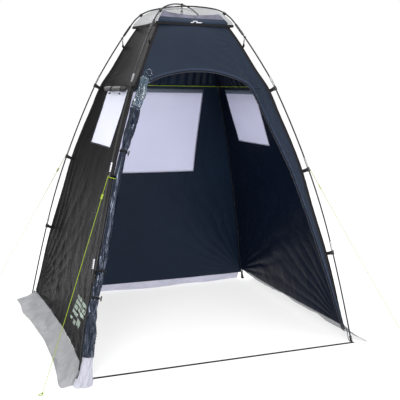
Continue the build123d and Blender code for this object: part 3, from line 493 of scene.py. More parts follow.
# displacement of each wall, in metres, outward positive; a is the run across
def disp_left(a, z):
    s = a / fy(z)
    edge = np.clip(1 - np.abs(s) ** 10, 0, 1)
    low = 1 - smoothstep(z, 1.05, 1.30)
    # long upright folds that fan out a little towards the ground
    t = a / (0.15 + 0.06 * (1.3 - z)) + 1.5 * noise2(a * 2.2, z * 0.9, 1)
    d = 0.0052 * (fold(t, 2.4) - 0.30) * smoothstep(noise2(a * 2.1, z * 1.3, 5), -0.35, 0.45) * low
    t = a / 0.055 + 1.2 * noise2(a * 4.0, z * 1.2, 2) + 0.5 * z
    d = d + 0.0016 * (fold(t, 1.6) - 0.35) * smoothstep(noise2(a * 3.1, z * 1.7, 6), -0.1, 0.6) * low
    # crushed creases near the ground
    cr = np.abs(fbm(a * 7 + z * 3, z * 9 - a * 2, 7, 3, 0.55))
    d = d + 0.0075 * (0.22 - np.clip(cr, 0, 0.35)) * (1 - smoothstep(z, 0.28, 0.75))
    # pulls from the two bottom corners
    for a0, z0, n, seed, reach in ((0.79, 0.05, 21, 11, 0.95), (-0.79, 0.05, 15, 12, 0.45)):
        f, r, ang = rays(a, z, a0, z0, n, seed)
        d = d + 0.0105 * (f - 0.3) * np.exp(-r / reach * 1.5) * smoothstep(r, 0.02, 0.22)
    # pucker under the window and over the whole lower wall
    d = d + 0.0020 * fbm(a * 9, z * 5, 21) * low
    # broad gentle billows
    d = d + 0.004 * noise2(a * 1.7, z * 1.4, 31)
    # tucks from the clips on the back corner
    for z0 in (0.58, 1.113, 1.628):
        f, r, ang = rays(a, z, float(fy(z0)), z0, 15, int(z0 * 100))
        d = d + 0.0028 * (f - 0.3) * np.exp(-r / 0.16) * smoothstep(r, 0.01, 0.06)
        f, r, ang = rays(a, z, -float(fy(z0)), z0, 15, int(z0 * 90))
        d = d + 0.0028 * (f - 0.3) * np.exp(-r / 0.16) * smoothstep(r, 0.01, 0.06)
    return d * edge


def disp_right(a, z):
    s = a / fy(z)
    edge = np.clip(1 - np.abs(s) ** 10, 0, 1)
    low = 1 - smoothstep(z, 1.15, 1.45)
    d = 0.004 * noise2(a * 1.6, z * 1.5, 41)
    # folds that run from the ground at the front up towards the middle of the wall
    for a0, z0, n, seed, reach, amp in ((-0.80, 0.10, 17, 51, 1.05, 0.0075), (0.79, 0.10, 21, 52, 0.9, 0.0090)):
        f, r, ang = rays(a, z, a0, z0, n, seed, 0.16)
        d = d + amp * (f - 0.3) * np.exp(-r / reach * 1.3) * smoothstep(r, 0.03, 0.2) * low
    for z0 in (0.58, 1.113, 1.628):
        for sg in (-1, 1):
            f, r, ang = rays(a, z, sg * float(fy(z0)), z0, 17, int(z0 * 70 + sg))
            d = d + 0.0030 * (f - 0.3) * np.exp(-r / 0.20) * smoothstep(r, 0.01, 0.06)
    d = d + 0.0022 * fbm(a * 8, z * 6, 61) * low
    # gathers above the window
    up = smoothstep(z, 1.60, 1.66) * (1 - smoothstep(z, 1.86, 2.0))
    d = d + 0.0060 * (fold(a / 0.062 + 0.5 * noise2(a * 4, z * 2, 63), 1.3) - 0.4) * up * 1.6
    return d * edge


def disp_back(a, z):
    s = a / fx(z)
    edge = np.clip(1 - np.abs(s) ** 10, 0, 1)
    d = 0.003 * noise2(a * 1.4, z * 1.2, 71)
    low = 1 - smoothstep(z, 0.75, 1.0)
    f, r, ang = rays(a, z, 0.86, 0.07, 19, 72)
    d = d + 0.0050 * (f - 0.3) * np.exp(-r / 0.55) * smoothstep(r, 0.02, 0.2)
    f, r, ang = rays(a, z, -0.86, 0.07, 19, 73)
    d = d + 0.0050 * (f - 0.3) * np.exp(-r / 0.55) * smoothstep(r, 0.02, 0.2)
    # shallow slanting folds across the lower half
    t = (z * 0.86 - a * 0.35) / 0.12 + 0.8 * noise2(a * 2, z * 3, 74)
    d = d + 0.0022 * (fold(t, 1.8) - 0.3) * low * smoothstep(noise2(a * 3, z * 3, 75), -0.3, 0.5)
    d = d + 0.0016 * fbm(a * 8, z * 7, 76) * low
    # upright gathers between the window and the roof
    up = smoothstep(z, 1.60, 1.66) * (1 - smoothstep(z, 1.90, 2.02))
    t = a / 0.060 + 0.7 * noise2(a * 5, z * 1.5, 77)
    d = d + 0.0170 * (fold(t, 1.3) - 0.4) * up * (0.7 + 0.4 * noise2(a * 7, z, 78))
    # flat where the washing line runs along the cloth
    return d * edge * (1 - np.exp(-((z - 1.634) / 0.016) ** 4))


def disp_front(a, z):
    s = a / fx(z)
    edge = np.clip(1 - np.abs(s) ** 12, 0, 1)
    d = 0.0022 * noise2(a * 1.8, z * 1.6, 81)
    # folds drawn from the corner tie at the top right and along the right strip
    f, r, ang = rays(a, z, 0.345, 1.90, 15, 82)
    d = d + 0.0050 * (f - 0.3) * np.exp(-r / 0.22) * smoothstep(r, 0.02, 0.10) * smoothstep(a, 0.05, 0.25)
    t = (a * 0.95 + z * 0.25) / 0.060 + 0.5 * noise2(a * 5, z * 2, 83)
    d = d + 0.0050 * (fold(t, 1.3) - 0.35) * smoothstep(a, 0.22, 0.34) * smoothstep(z, 1.2, 1.55) * (1 - smoothstep(z, 1.80, 1.95))
    for z0 in (0.58, 1.113, 1.628):
        f, r, ang = rays(a, z, float(fx(z0)), z0, 17, int(z0 * 60))
        d = d + 0.0085 * (f - 0.3) * np.exp(-r / 0.26) * smoothstep(r, 0.01, 0.06)
    # slanting tucks down the strip
    t = (z * 0.55 - a) / 0.045 + 0.8 * noise2(a * 4, z * 3, 85)
    d = d + 0.0050 * (fold(t, 1.5) - 0.3) * smoothstep(a, 0.36, 0.46) * smoothstep(noise2(a * 3, z * 4, 86), -0.4, 0.3)
    d = d + 0.0030 * fbm(a * 10, z * 3.4, 84) * smoothstep(a, 0.3, 0.45)
    return d * edge


def wall_point(which, a, z, off=0.0):
    """points on a wall; off moves them outward"""
    a, z = np.broadcast_arrays(np.asarray(a, float), np.asarray(z, float))
    if which in ("left", "right"):
        sg = -1.0 if which == "left" else 1.0
        s = np.clip(a / fy(z), -1, 1)
        d = (disp_left if which == "left" else disp_right)(a, z)
        x = sg * (fx(z) - sag_f(z) * (1 - s * s) + d + off)
        return np.stack([x, a, z], -1)
    s = np.clip(a / fx(z), -1, 1)
    d = (disp_back if which == "back" else disp_front)(a, z)
    y = fy(z) - sag_f(z) * (1 - s * s) + d + off
    return np.stack([a, y if which == "back" else -y, z], -1)


# ---------------------------------------------------------------------------
# mesh helpers
# ---------------------------------------------------------------------------
def make(name, verts, faces, mats, uvs=None, body="root", smooth=True, fmats=None):
    me = bpy.data.meshes.new(name)
    me.from_pydata([tuple(v) for v in verts], [], [tuple(int(i) for i in f) for f in faces])
    for k in mats:
        me.materials.append(k.m)
    if smooth:
        me.polygons.foreach_set("use_smooth", [True] * len(me.polygons))
    if fmats is not None:
        me.polygons.foreach_set("material_index", fmats)
    if uvs is not None:
        lay = me.uv_layers.new(name="UVMap")
        idx = np.zeros(len(me.loops), int)
        me.loops.foreach_get("vertex_index", idx)
        lay.data.foreach_set("uv", np.asarray(uvs, float)[idx].ravel())
    me.update()
    o = bpy.data.objects.new(name, me)
    scene.collection.objects.link(o)
    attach(o, body)
    return o


def grid_faces(nr, nc, flip=False, skip=None, close=False):
    r, c = np.meshgrid(np.arange(nr - 1), np.arange(nc if close else nc - 1), indexing="ij")
    if skip is not None:
        keep = ~skip
        r, c = r[keep], c[keep]
    r, c = r.ravel(), c.ravel()
    c2 = (c + 1) % nc
    a, b, d, e = r * nc + c, r * nc + c2, (r + 1) * nc + c2, (r + 1) * nc + c
    f = np.stack([a, b, d, e], 1)
    return f[:, ::-1] if flip else f


def solidify(o, t, offset=-1.0, mat_off=0, rim_off=0):
    md = o.modifiers.new("thickness", "SOLIDIFY")
    md.thickness = t
    md.offset = offset
    md.use_even_offset = False
    md.material_offset = mat_off
    md.material_offset_rim = rim_off
    return md


def tube_mesh(name, pts, radii, mats, n=12, body="root", caps=True, profile=None, uvs=True):
    """round tube of changing radius through the points; profile(u, t) scales the radius"""
    pts = np.asarray(pts, float)
    m_ = len(pts)
    tan = np.gradient(pts, axis=0)
    tan /= np.linalg.norm(tan, axis=1)[:, None] + 1e-12
    ref = np.array([0.0, 0.0, 1.0]) if abs(tan[0][2]) < 0.9 else np.array([0.0, 1.0, 0.0])
    u = ref - tan[0] * ref.dot(tan[0])
    u /= np.linalg.norm(u)
    us = [u]
    for i in range(1, m_):
        u = us[-1] - tan[i] * us[-1].dot(tan[i])
        us.append(u / (np.linalg.norm(u) + 1e-12))
    us = np.array(us)
    ws = np.cross(tan, us)
    th = np.linspace(0, 2 * math.pi, n, endpoint=False)
    rad = np.broadcast_to(np.asarray(radii, float), (m_,))[:, None] * np.ones((1, n))
    run = np.concatenate([[0], np.cumsum(np.linalg.norm(np.diff(pts, axis=0), axis=1))])
    if profile is not None:
        rad = rad * profile(run[:, None], th[None, :])
    v = pts[:, None, :] + rad[..., None] * (np.cos(th)[None, :, None] * us[:, None, :] + np.sin(th)[None, :, None] * ws[:, None, :])
    verts = v.reshape(-1, 3)
    faces = [tuple(f) for f in grid_faces(m_, n, close=True)]
    uv = np.stack([np.broadcast_to(th[None, :] * np.mean(rad), (m_, n)), np.broadcast_to(run[:, None], (m_, n))], -1).reshape(-1, 2)
    if caps:
        faces.append(tuple(range(n))[::-1])
        faces.append(tuple((m_ - 1) * n + k for k in range(n)))
    return make(name, verts, faces, mats, uvs=uv, body=body)


def ribbon(name, left, right, thick, normal, mats, body="root", holes=False):
    """flat strap between two edge lines, with thickness along the normals given"""
    left, right, normal = (np.asarray(q, float) for q in (left, right, normal))
    n = len(left)
    mid1, mid2 = left * 0.9 + right * 0.1, left * 0.1 + right * 0.9
    up = normal * thick
    ring = [left + up * 0.25, mid1 + up, mid2 + up, right + up * 0.25, right * 1.0, mid2 * 1.0, mid1 * 1.0, left * 1.0]
    v = np.stack(ring, 1).reshape(-1, 3)
    faces = [tuple(f) for f in grid_faces(n, 8, close=True)]
    faces.append(tuple(range(8))[::-1])
    faces.append(tuple((n - 1) * 8 + k for k in range(8)))
    w = np.linalg.norm(right - left, axis=1)
    run = np.concatenate([[0], np.cumsum(np.linalg.norm(np.diff(left, axis=0), axis=1))])
    cols = np.array([0, 0.1, 0.9, 1.0, 1.0, 0.9, 0.1, 0.0])
    uv = np.stack([w[:, None] * cols[None, :], np.repeat(run[:, None], 8, 1)], -1).reshape(-1, 2)
    return make(name, v, faces, mats, uvs=uv, body=body, smooth=False)


def arc_run(p):
    return np.concatenate([[0], np.cumsum(np.linalg.norm(np.diff(p, axis=0), axis=1))])


def join(objs, name):
    """several pieces made one object"""
    bpy.ops.object.select_all(action="DESELECT")
    for o in objs:
        o.select_set(True)
    bpy.context.view_layer.objects.active = objs[0]
    bpy.ops.object.join()
    objs[0].name = name
    return objs[0]


# ---------------------------------------------------------------------------
# walls and their windows
# ---------------------------------------------------------------------------
def cols_for(which, z, n_out, n_in):
    """positions across a wall at height z, with the window's edges on whole columns"""
    w, zb, zt = WIN[which]
    f = fy if which in ("left", "right") else fx
    zz = np.clip(z, zb, zt)
    half = f(z)
    if which == "back":
        half = half - 0.0028
    sw = w / f(zz)
    a = np.concatenate([np.linspace(-1, -sw, n_out + 1)[:-1], np.linspace(-sw, sw, n_in + 1), np.linspace(sw, 1, n_out + 1)[1:]])
    return a * half


def wall(which, mats):
    w, zb, zt = WIN[which]
    hem = HEM[which]
    step = 0.009
    rows = np.concatenate([np.linspace(hem, zb, int((zb - hem) / step)), np.linspace(zb, zt, int((zt - zb) / step))[1:],
                           np.linspace(zt, TOP, int((TOP - zt) / step))[1:]])
    n_out, n_in = (40, 48) if which != "back" else (38, 64)
    A = np.array([cols_for(which, z, n_out, n_in) for z in rows])
    Z = np.repeat(rows[:, None], A.shape[1], 1)
    f = fy if which != "back" else fx
    s = A / f(Z)
    lift = {"left": 0.010, "right": 0.010, "back": 0.0}[which] * (1 - s * s) * np.clip(1 - (Z - hem) / 0.25, 0, 1)
    Z = Z + lift
    P = wall_point(which, A, Z)
    nr, nc = A.shape
    inz = (rows[:-1] >= zb - 1e-6) & (rows[1:] <= zt + 1e-6)
    inc = np.zeros(nc - 1, bool)
    inc[n_out:n_out + n_in] = True
    skip = inz[:, None] & inc[None, :]
    # outward faces
    flip = which in ("right",)
    F = grid_faces(nr, nc, flip=not flip, skip=skip)
    if which == "back":
        F = F[:, ::-1]
        F = F[:, ::-1]
    uv = np.stack([A, Z], -1).reshape(-1, 2)
    o = make(which + "_wall_cloth", P.reshape(-1, 3), F, mats, uvs=uv)
    # make sure that the first skin looks outward
    me = o.data
    c = np.zeros(len(me.polygons) * 3)
    me.polygons.foreach_get("normal", c)
    nrm = c.reshape(-1, 3).mean(0)
    want = {"left": (-1, 0, 0), "right": (1, 0, 0), "back": (0, 1, 0)}[which]
    if float(np.dot(nrm, want)) < 0:
        me.flip_normals()
    bm = bmesh.new()
    bm.from_mesh(me)
    loose = [v for v in bm.verts if not v.link_faces]
    bmesh.ops.delete(bm, geom=loose, context="VERTS")
    bm.to_mesh(me)
    bm.free()
    solidify(o, 0.0011, -1.0, mat_off=1, rim_off=0)
    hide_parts(which + "_wall")
    f0 = float(f(hem)) * 2
    flat_area = float(sum((f(a_) + f(b_)) * (b_ - a_) * 1.03 for a_, b_ in zip(rows[:-1], rows[1:]))) - 2 * w * (zt - zb)
    # pane
    na, nz = 40, 34
    aa = np.linspace(-w - 0.006, w + 0.006, na)
    zz = np.linspace(zb - 0.006, zt + 0.006, nz)
    PA, PZ = np.meshgrid(aa, zz)
    P = wall_point(which, PA, PZ, -0.0018)
    o2 = make(which + "_window_pane", P.reshape(-1, 3), grid_faces(nz, na), [WINDOW_LEFT_REFLECT if which == "left" else WINDOW],
              uvs=np.stack([PA, PZ], -1).reshape(-1, 2))
    c = np.zeros(len(o2.data.polygons) * 3)
    o2.data.polygons.foreach_get("normal", c)
    if float(np.dot(c.reshape(-1, 3).mean(0), want)) < 0:
        o2.data.flip_normals()
    solidify(o2, 0.0006, -1.0)
    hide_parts(which + "_window")
    # stitched hem round the window, outside
    hw_ = 0.009
    pts_o, pts_i = [], []
    for t in np.linspace(-1, 1, 30):
        pts_o.append((t * (w + hw_), zb - hw_))
        pts_i.append((t * w, zb))
    for t in np.linspace(0, 1, 26)[1:]:
        pts_o.append((w + hw_, zb - hw_ + t * (zt - zb + 2 * hw_)))
        pts_i.append((w, zb + t * (zt - zb)))
    for t in np.linspace(1, -1, 30)[1:]:
        pts_o.append((t * (w + hw_), zt + hw_))
        pts_i.append((t * w, zt))
    for t in np.linspace(1, 0, 26)[1:]:
        pts_o.append((-(w + hw_), zb - hw_ + t * (zt - zb + 2 * hw_)))
        pts_i.append((-w, zb + t * (zt - zb)))
    po, pi = np.array(pts_o), np.array(pts_i)
    L = wall_point(which, po[:, 0], po[:, 1], 0.0006)
    R = wall_point(which, pi[:, 0], pi[:, 1], 0.0006)
    N = np.repeat(np.array([want], float), len(L), 0)
    ribbon(which + "_window_hem", L, R, 0.0010, N, [BIND])
    return o


wall("left", [CHARCOAL, CHARCOAL_IN])
wall("right", [OUTSIDE, BLACKISH])
wall("back", [OUTSIDE, DARK])

# ---------------------------------------------------------------------------
# front panel: header with the arched edge, and the strip down the right
# ---------------------------------------------------------------------------
INSET = 0.0028
DOOR = np.array([(60, 866), (330, 789), (580, 718), (850, 639), (1113, 549), (1376, 440), (1529, 378), (1621, 338)], float) / 1000
door_x = smooth_tab(DOOR[:, 0], DOOR[:, 1])
arch = np.array([(-(float(fx(1.600)) - INSET - 0.014), 1.600), (-0.412, 1.622), (-0.363, 1.652), (-0.300, 1.679), (-0.239, 1.699),
                 (-0.160, 1.716), (-0.080, 1.728), (0.0, 1.731), (0.080, 1.728), (0.160, 1.714), (0.239, 1.690), (0.300, 1.660),
                 (0.338, 1.621)])


def smooth_line(p, n):
    """Catmull-Rom run through the points, n samples evenly along it"""
    p = np.asarray(p, float)
    q = np.vstack([2 * p[0] - p[1], p, 2 * p[-1] - p[-2]])
    out = []
    for i in range(1, len(q) - 2):
        t = np.linspace(0, 1, 24, endpoint=False)[:, None]
        a, b, c, d = q[i - 1], q[i], q[i + 1], q[i + 2]
        out.append(0.5 * ((2 * b) + (-a + c) * t + (2 * a - 5 * b + 4 * c - d) * t ** 2 + (-a + 3 * b - 3 * c + d) * t ** 3))
    out = np.vstack(out + [p[-1:]])
    r = arc_run(out)
    t = np.linspace(0, r[-1], n)
    return np.stack([np.interp(t, r, out[:, k]) for k in range(p.shape[1])], -1)


arch_line = smooth_line(arch, 110)
nstrip = 14
row = np.vstack([[(-(float(fx(1.590)) - INSET), 1.590)], arch_line,
                 np.stack([np.linspace(0.338, float(fx(1.621)) - INSET, nstrip)[1:], np.full(nstrip - 1, 1.621)], -1)])
nrow = 46
T = np.linspace(0, 1, nrow)[:, None]
w0 = row[:, 0] / np.where(row[:, 0] < 0, -(fx(row[:, 1]) - INSET) * -1, fx(row[:, 1]) - INSET)
wt = np.linspace(-1, 1, len(row))
# the top edge's columns keep the spacing of the arch below
wt = row[:, 0] / np.where(row[:, 0] < 0, float(fx(1.590)) - INSET, float(fx(1.621)) - INSET)
HZ = row[None, :, 1] + (TOP - row[None, :, 1]) * T
w0 = row[:, 0] / (fx(row[:, 1]) - INSET)
W = w0[None, :] * (1 - T) + wt[None, :] * T
HX = W * (fx(HZ) - INSET)
P1 = wall_point("front", HX, HZ)
nr1, nc1 = HX.shape
faces = [tuple(f) for f in grid_faces(nr1, nc1)]
verts = list(P1.reshape(-1, 3))
uvs = list(np.stack([HX, HZ], -1).reshape(-1, 2))
zs = np.linspace(1.621, 0.060, 178)
SX = []
for z in zs:
    half = float(fx(z)) - INSET
    e = min(float(door_x(z)), half - 0.002)
    SX.append(np.linspace(e, half, nstrip))
SX = np.array(SX)
SZ = np.repeat(zs[:, None], nstrip, 1)
P2 = wall_point("front", SX, SZ)


def front_piece(name, verts, faces, uvs):
    o = make(name, verts, faces, [NAVY, NAVY_IN], uvs=uvs)
    c = np.zeros(len(o.data.polygons) * 3)
    o.data.polygons.foreach_get("normal", c)
    if c.reshape(-1, 3).mean(0)[1] > 0:
        o.data.flip_normals()
    solidify(o, 0.0011, -1.0, mat_off=1)
    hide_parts("front_panel")
    return o


front_piece("front_header_cloth", verts, faces, uvs)
front_piece("front_strip_cloth", list(P2.reshape(-1, 3)), [tuple(f[::-1]) for f in grid_faces(len(zs), nstrip)],
            list(np.stack([SX, SZ], -1).reshape(-1, 2)))

# zip: tape sewn behind the edge, with a raised coil
zline = np.vstack([arch_line[6:], np.stack([door_x(np.linspace(1.621, 0.075, 130)[1:]), np.linspace(1.621, 0.075, 130)[1:]], -1)])
tang = np.gradient(zline, axis=0)
tang /= np.linalg.norm(tang, axis=1)[:, None]
nin = np.stack([tang[:, 1], -tang[:, 0]], -1)       # into the doorway
A0, A1 = zline - nin * 0.003, zline + nin * 0.013
L = wall_point("front", A0[:, 0], A0[:, 1], -0.0030)
R = wall_point("front", A1[:, 0], A1[:, 1], -0.0030)
N = np.repeat(np.array([[0, -1.0, 0]]), len(L), 0)
ztape = ribbon("door_zip_tape", L, R, 0.0012, N, [ZIP])
C0 = zline + nin * 0.010
coil = tube_mesh("door_zip_coil", wall_point("front", C0[:, 0], C0[:, 1], -0.0016), 0.0015, [BLACK], n=8,
                 profile=lambda u, t: 1 + 0.18 * np.sin(u / 0.0028 * 2 * math.pi))
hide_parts("door_zip")
# piping on the panel's arched edge
E0, E1 = zline - nin * 0.011, zline + nin * 0.0005
L = wall_point("front", E0[:, 0], E0[:, 1], 0.0006)
R = wall_point("front", E1[:, 0], E1[:, 1], 0.0006)
ribbon("door_edge_binding", L, R, 0.0012, N, [cloth("edge_navy", lin(34, 43, 58), rough=0.5, crinkle=0.2, spec=0.1, sheen=0.0)])

# ---------------------------------------------------------------------------
# corner seams, top binding, bottom hems
# ---------------------------------------------------------------------------
for leg, (sx, sy) in {"fl": (-1, -1), "fr": (1, -1), "bl": (-1, 1), "br": (1, 1)}.items():
    hem = {"fl": HEM["left"], "fr": HEM["right"], "bl": HEM["back"], "br": HEM["back"]}[leg]
    z = np.linspace(hem, TOP, 220)
    cx, cy = sx * fx(z), sy * fy(z)
    corner = np.stack([cx, cy, z], -1)
    # folded seam tape standing a little proud along the diagonal
    out = np.array([sx * HW / DIAG, sy * HD / DIAG, 0.0])
    tube_mesh("corner_seam_" + leg, corner + out * 0.0012, 0.0030, [BIND], n=8,
              profile=lambda u, t: 1 + 0.10 * np.sin(u / 0.011 * 2 * math.pi))
    # tape on each wall beside the seam
    for which, f_, sgn in ((("left" if sx < 0 else "right"), fy, sy), (("front" if sy < 0 else "back"), fx, sx)):
        if which == "front" and sx < 0:
            zz = z[z > 1.60]
        else:
            zz = z
        half = f_(zz) - (INSET if which in ("front", "back") else 0.0)
        L = wall_point(which, sgn * (half - 0.0005), zz, 0.0005)
        R = wall_point(which, sgn * (half - 0.0135), zz, 0.0005)
        want = {"left": (-1, 0, 0), "right": (1, 0, 0), "back": (0, 1, 0), "front": (0, -1, 0)}[which]
        N = np.repeat(np.array([want], float), len(L), 0)
        ribbon("seam_tape_%s_%s" % (leg, which), L, R, 0.0009, N, [BIND])

# ---------------------------------------------------------------------------
# roof: mesh dome under the rods
# ---------------------------------------------------------------------------
RING = np.array([(0.296, 2040, 26, 0), (0.262, 2072, 22, 6), (0.180, 2117, 14, 9), (0.090, 2134, 5, 4), (0.0, 2138, 0, 0)], float)
rt = np.array([0.0, 0.28, 0.58, 0.82, 1.0])
rg, rz, rp, rd = (smooth_tab(rt, RING[:, k] / (1 if k == 0 else 1000)) for k in range(4))


# underside of the roof rods, which the dome's four ridges hang close below
_rod = []
for _n in ("roof_arc_a", "roof_arc_b"):
    _o = NODES[_n]
    _rod += [tuple(_o.matrix_world @ v.co) for v in _o.data.vertices]
_rod = np.array(_rod)
_rr = np.hypot(_rod[:, 0], _rod[:, 1])
_bins = np.linspace(0.0, 0.40, 17)
_low = []
for k in range(len(_bins)):
    sel = np.abs(_rr - _bins[k]) < 0.014
    _low.append(_rod[sel, 2].min() if sel.any() else np.nan)
_low = np.array(_low)
_ok = ~np.isnan(_low)


def ridge(r):
    return np.minimum(np.interp(r, _bins[_ok], _low[_ok]) + 0.002, 2.146)


def roof_point(side, s, t, off=0.0):
    """side 0 front 1 right 2 back 3 left; s across -1..1; t from the hem up to the middle"""
    g, z, p, d = rg(t), rz(t), rp(t), rd(t)
    half_a = (HW if side in (0, 2) else HD) * g
    half_b = (HD if side in (0, 2) else HW) * g
    k = 1 - s * s
    a = half_a * s
    b = half_b - p * k + off
    zz = z - d * k + (ridge(DIAG * g) - z) * np.abs(s) ** 2.5 * smoothstep(t, 0.02, 0.20) + off * 0.4 + 0.0015 * noise2(a * 14 + side * 3.3, t * 6, 90) * np.sin(np.pi * np.clip(t, 0, 1))
    x, y = {0: (a, -b), 1: (b, a), 2: (-a, b), 3: (-b, -a)}[side]
    return np.stack([x, y, zz + 0 * x], -1)


verts, faces, uvs = [], [], []
nt, ns = 34, 41
for side in range(4):
    S, TT = np.meshgrid(np.linspace(-1, 1, ns), np.linspace(0, 1, nt))
    P = roof_point(side, S, TT)
    P[0, :, 2] = 2.0270
    base = len(verts)
    verts += list(P.reshape(-1, 3))
    uvs += list(np.stack([P[..., 0] + P[..., 2] * (side % 2), P[..., 1] + P[..., 2] * ((side + 1) % 2)], -1).reshape(-1, 2))
    faces += [tuple(base + i for i in f) for f in grid_faces(nt, ns)]
roof = make("roof_mesh_net", verts, faces, [NET], uvs=uvs)
bm = bmesh.new()
bm.from_mesh(roof.data)
bmesh.ops.remove_doubles(bm, verts=bm.verts, dist=0.0006)
bmesh.ops.recalc_face_normals(bm, faces=bm.faces)
bm.to_mesh(roof.data)
bm.free()
roof.data.polygons.foreach_set("use_smooth", [True] * len(roof.data.polygons))
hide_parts("roof_mesh")
area_roof = sum(p.area for p in roof.data.polygons)

# hem tape round the roof's edge
for side in range(4):
    s = np.linspace(-1, 1, 60)
    top = roof_point(side, s, np.full(60, 0.0), 0.0022)
    top[:, 2] = 2.0300
    bot = roof_point(side, s, np.full(60, 0.0), 0.0034)
    bot[:, 2] = 2.0140 + 0.0015 * noise2(s * 6, s * 0, 91 + side)
    want = [(0, -1, 0), (1, 0, 0), (0, 1, 0), (-1, 0, 0)][side]
    tp = ribbon("roof_hem_tape_%d" % side, bot, top, 0.0012, np.repeat(np.array([want], float), 60, 0), [TAPE])
    if side == 0:
        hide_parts("roof_hem_tape")

# band across the front of the roof: navy below, pale lilac above
BAND = cloth("roof_band_cloth", lin(29, 38, 52), rough=0.5, spec=0.1, crinkle=0.25, sheen=0.0)
_sep = BAND.node("ShaderNodeSeparateXYZ")
BAND.link(BAND.uv, _sep.inputs[0])
_hi = BAND.math("GREATER_THAN", BAND.math("ADD", _sep.outputs[1], BAND.math("MULTIPLY", BAND.noise(BAND.uv, 20.0, 2.0), 0.004)), 2.0640)
_lilac = BAND.ramp(BAND.noise(BAND.uv, 14.0, 3.0), [(0.3, lin(70, 70, 82)), (0.7, lin(94, 93, 108))])
_base = BAND.bsdf.inputs["Base Color"].links[0].from_socket
BAND.colour(BAND.mix(_hi, _base, _lilac))
S, TT = np.meshgrid(np.linspace(-0.93, 0.86, 60), np.linspace(0.0, 0.40, 16))
P = roof_point(0, S, TT, 0.0032)
low_row = P[:1].copy()
low_row[..., 2] = 2.0285
P = np.concatenate([low_row, P], 0)
bandp = make("roof_front_band_cloth", P.reshape(-1, 3), grid_faces(17, 60), [BAND, NAVY_IN],
             uvs=np.stack([P[..., 0], P[..., 2]], -1).reshape(-1, 2))
solidify(bandp, 0.0009, 0.0)
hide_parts("roof_front_band")

# small plain pale flash on the band: three dashes
INK = Mat("pale_ink")
_w = INK.ramp(INK.noise(INK.obj, 160.0, 3.0), [(0.3, lin(150, 152, 158)), (0.7, lin(205, 206, 210))])
INK.colour(_w)
INK.set(Roughness=0.6)
verts, faces = [], []
for x0, x1, z0, z1 in ((-0.024, -0.004, 2.031, 2.037), (-0.010, 0.024, 2.040, 2.045), (0.014, 0.052, 2.032, 2.038)):
    xa = np.linspace(x0, x1, 8)
    for z in (z0, z1):
        for x in xa:
            pr = roof_point(0, np.array([x / (HW * 0.296)]), np.array([0.02]), 0.0052)[0]
            verts.append((x + (z - z0) * 1.2, pr[1] - 0.001, z))
    b_ = len(verts) - 16
    faces += [(b_ + i, b_ + i + 1, b_ + 8 + i + 1, b_ + 8 + i) for i in range(7)]
flash = make("roof_flash", verts, faces, [INK])
solidify(flash, 0.0006, 0.0)

# ---------------------------------------------------------------------------
# ground skirts
# ---------------------------------------------------------------------------
def bump(i, a=1.0):
    return a * (0.5 + 0.5 * math.sin(i * 2.3 + 0.7))


def skirt(name, node, hem_line, mid_line, out_line, seed, mat=SKIRT, across=26, along=190, amp=0.004):
    H, M, O = (smooth_line(q, along) for q in (hem_line, mid_line, out_line))
    t = np.linspace(0, 1, across)[:, None, None]
    # a quadratic run through hem, middle and edge
    P = H[None] * (1 - t) * (1 - 2 * t) + M[None] * 4 * t * (1 - t) + O[None] * t * (2 * t - 1)
    run = arc_run(O)[None, :]
    tt = np.linspace(0, 1, across)[:, None]
    wav = amp * (fbm(run * 9 + 0 * tt, tt * 2.0 + run, seed) + 0.8 * noise2(run * 21, tt * 3, seed + 9)) * np.sin(np.pi * np.clip(tt * 1.02, 0, 1)) ** 0.6
    P[..., 2] += wav + 0.0015
    edge = 0.004 * np.abs(noise2(run * 14, 0 * run, seed + 4)) * smoothstep(tt, 0.75, 1.0)
    P[..., 2] = np.maximum(P[..., 2] + edge, 0.0012)
    uv = np.stack([np.broadcast_to(run, P.shape[:2]), np.broadcast_to(tt * 0.17, P.shape[:2])], -1)
    o = make(name, P.reshape(-1, 3), grid_faces(across, along), [mat], uvs=uv.reshape(-1, 2))
    bm = bmesh.new()
    bm.from_mesh(o.data)
    bmesh.ops.recalc_face_normals(bm, faces=bm.faces)
    bm.to_mesh(o.data)
    bm.free()
    c = np.zeros(len(o.data.polygons) * 3)
    o.data.polygons.foreach_get("normal", c)
    if c.reshape(-1, 3).mean(0)[2] < 0:
        o.data.flip_normals()
    solidify(o, 0.0005, 1.0)
    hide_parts(node)
    return o


CL = 0.0012
fx60, fy60 = float(fx(0.060)), float(fy(0.060))
ys = [-915, -720, -520, -330, -140, 50, 250, 450, 640, 800]
outx = [-1020, -1003, -988, -980, -976, -990, -996, -1020, -1012, -1018]
h, m_, o_ = [], [], []
for i, (y, x) in enumerate(zip(ys, outx)):
    y, x = y / 1000, x / 1000
    s = max(-1.0, min(1.0, y / fy60))
    hx = -(fx60 - float(sag_f(0.06)) * (1 - s * s) * 0.9) - 0.0022
    yy = max(-fy60 + 0.002, min(fy60 - 0.002, y))
    h.append((hx, yy, HEM["left"] + 0.008 + 0.006 * (1 - s * s)))
    m_.append(((hx + x) / 2, (yy + y) / 2, 0.015 + bump(i, 0.012)))
    o_.append((x, y, CL + bump(i + 1, 0.006) * (0 if i in (0, 3, 7, 9) else 1)))
h.insert(0, (h[0][0] + 0.004, h[0][1] - 0.002, h[0][2] - 0.004))
m_.insert(0, (-0.925, -0.872, 0.016))
o_.insert(0, (-0.9489, -0.9131, CL))
skirt("left_skirt_film", "left_skirt", h, m_, o_, 101)

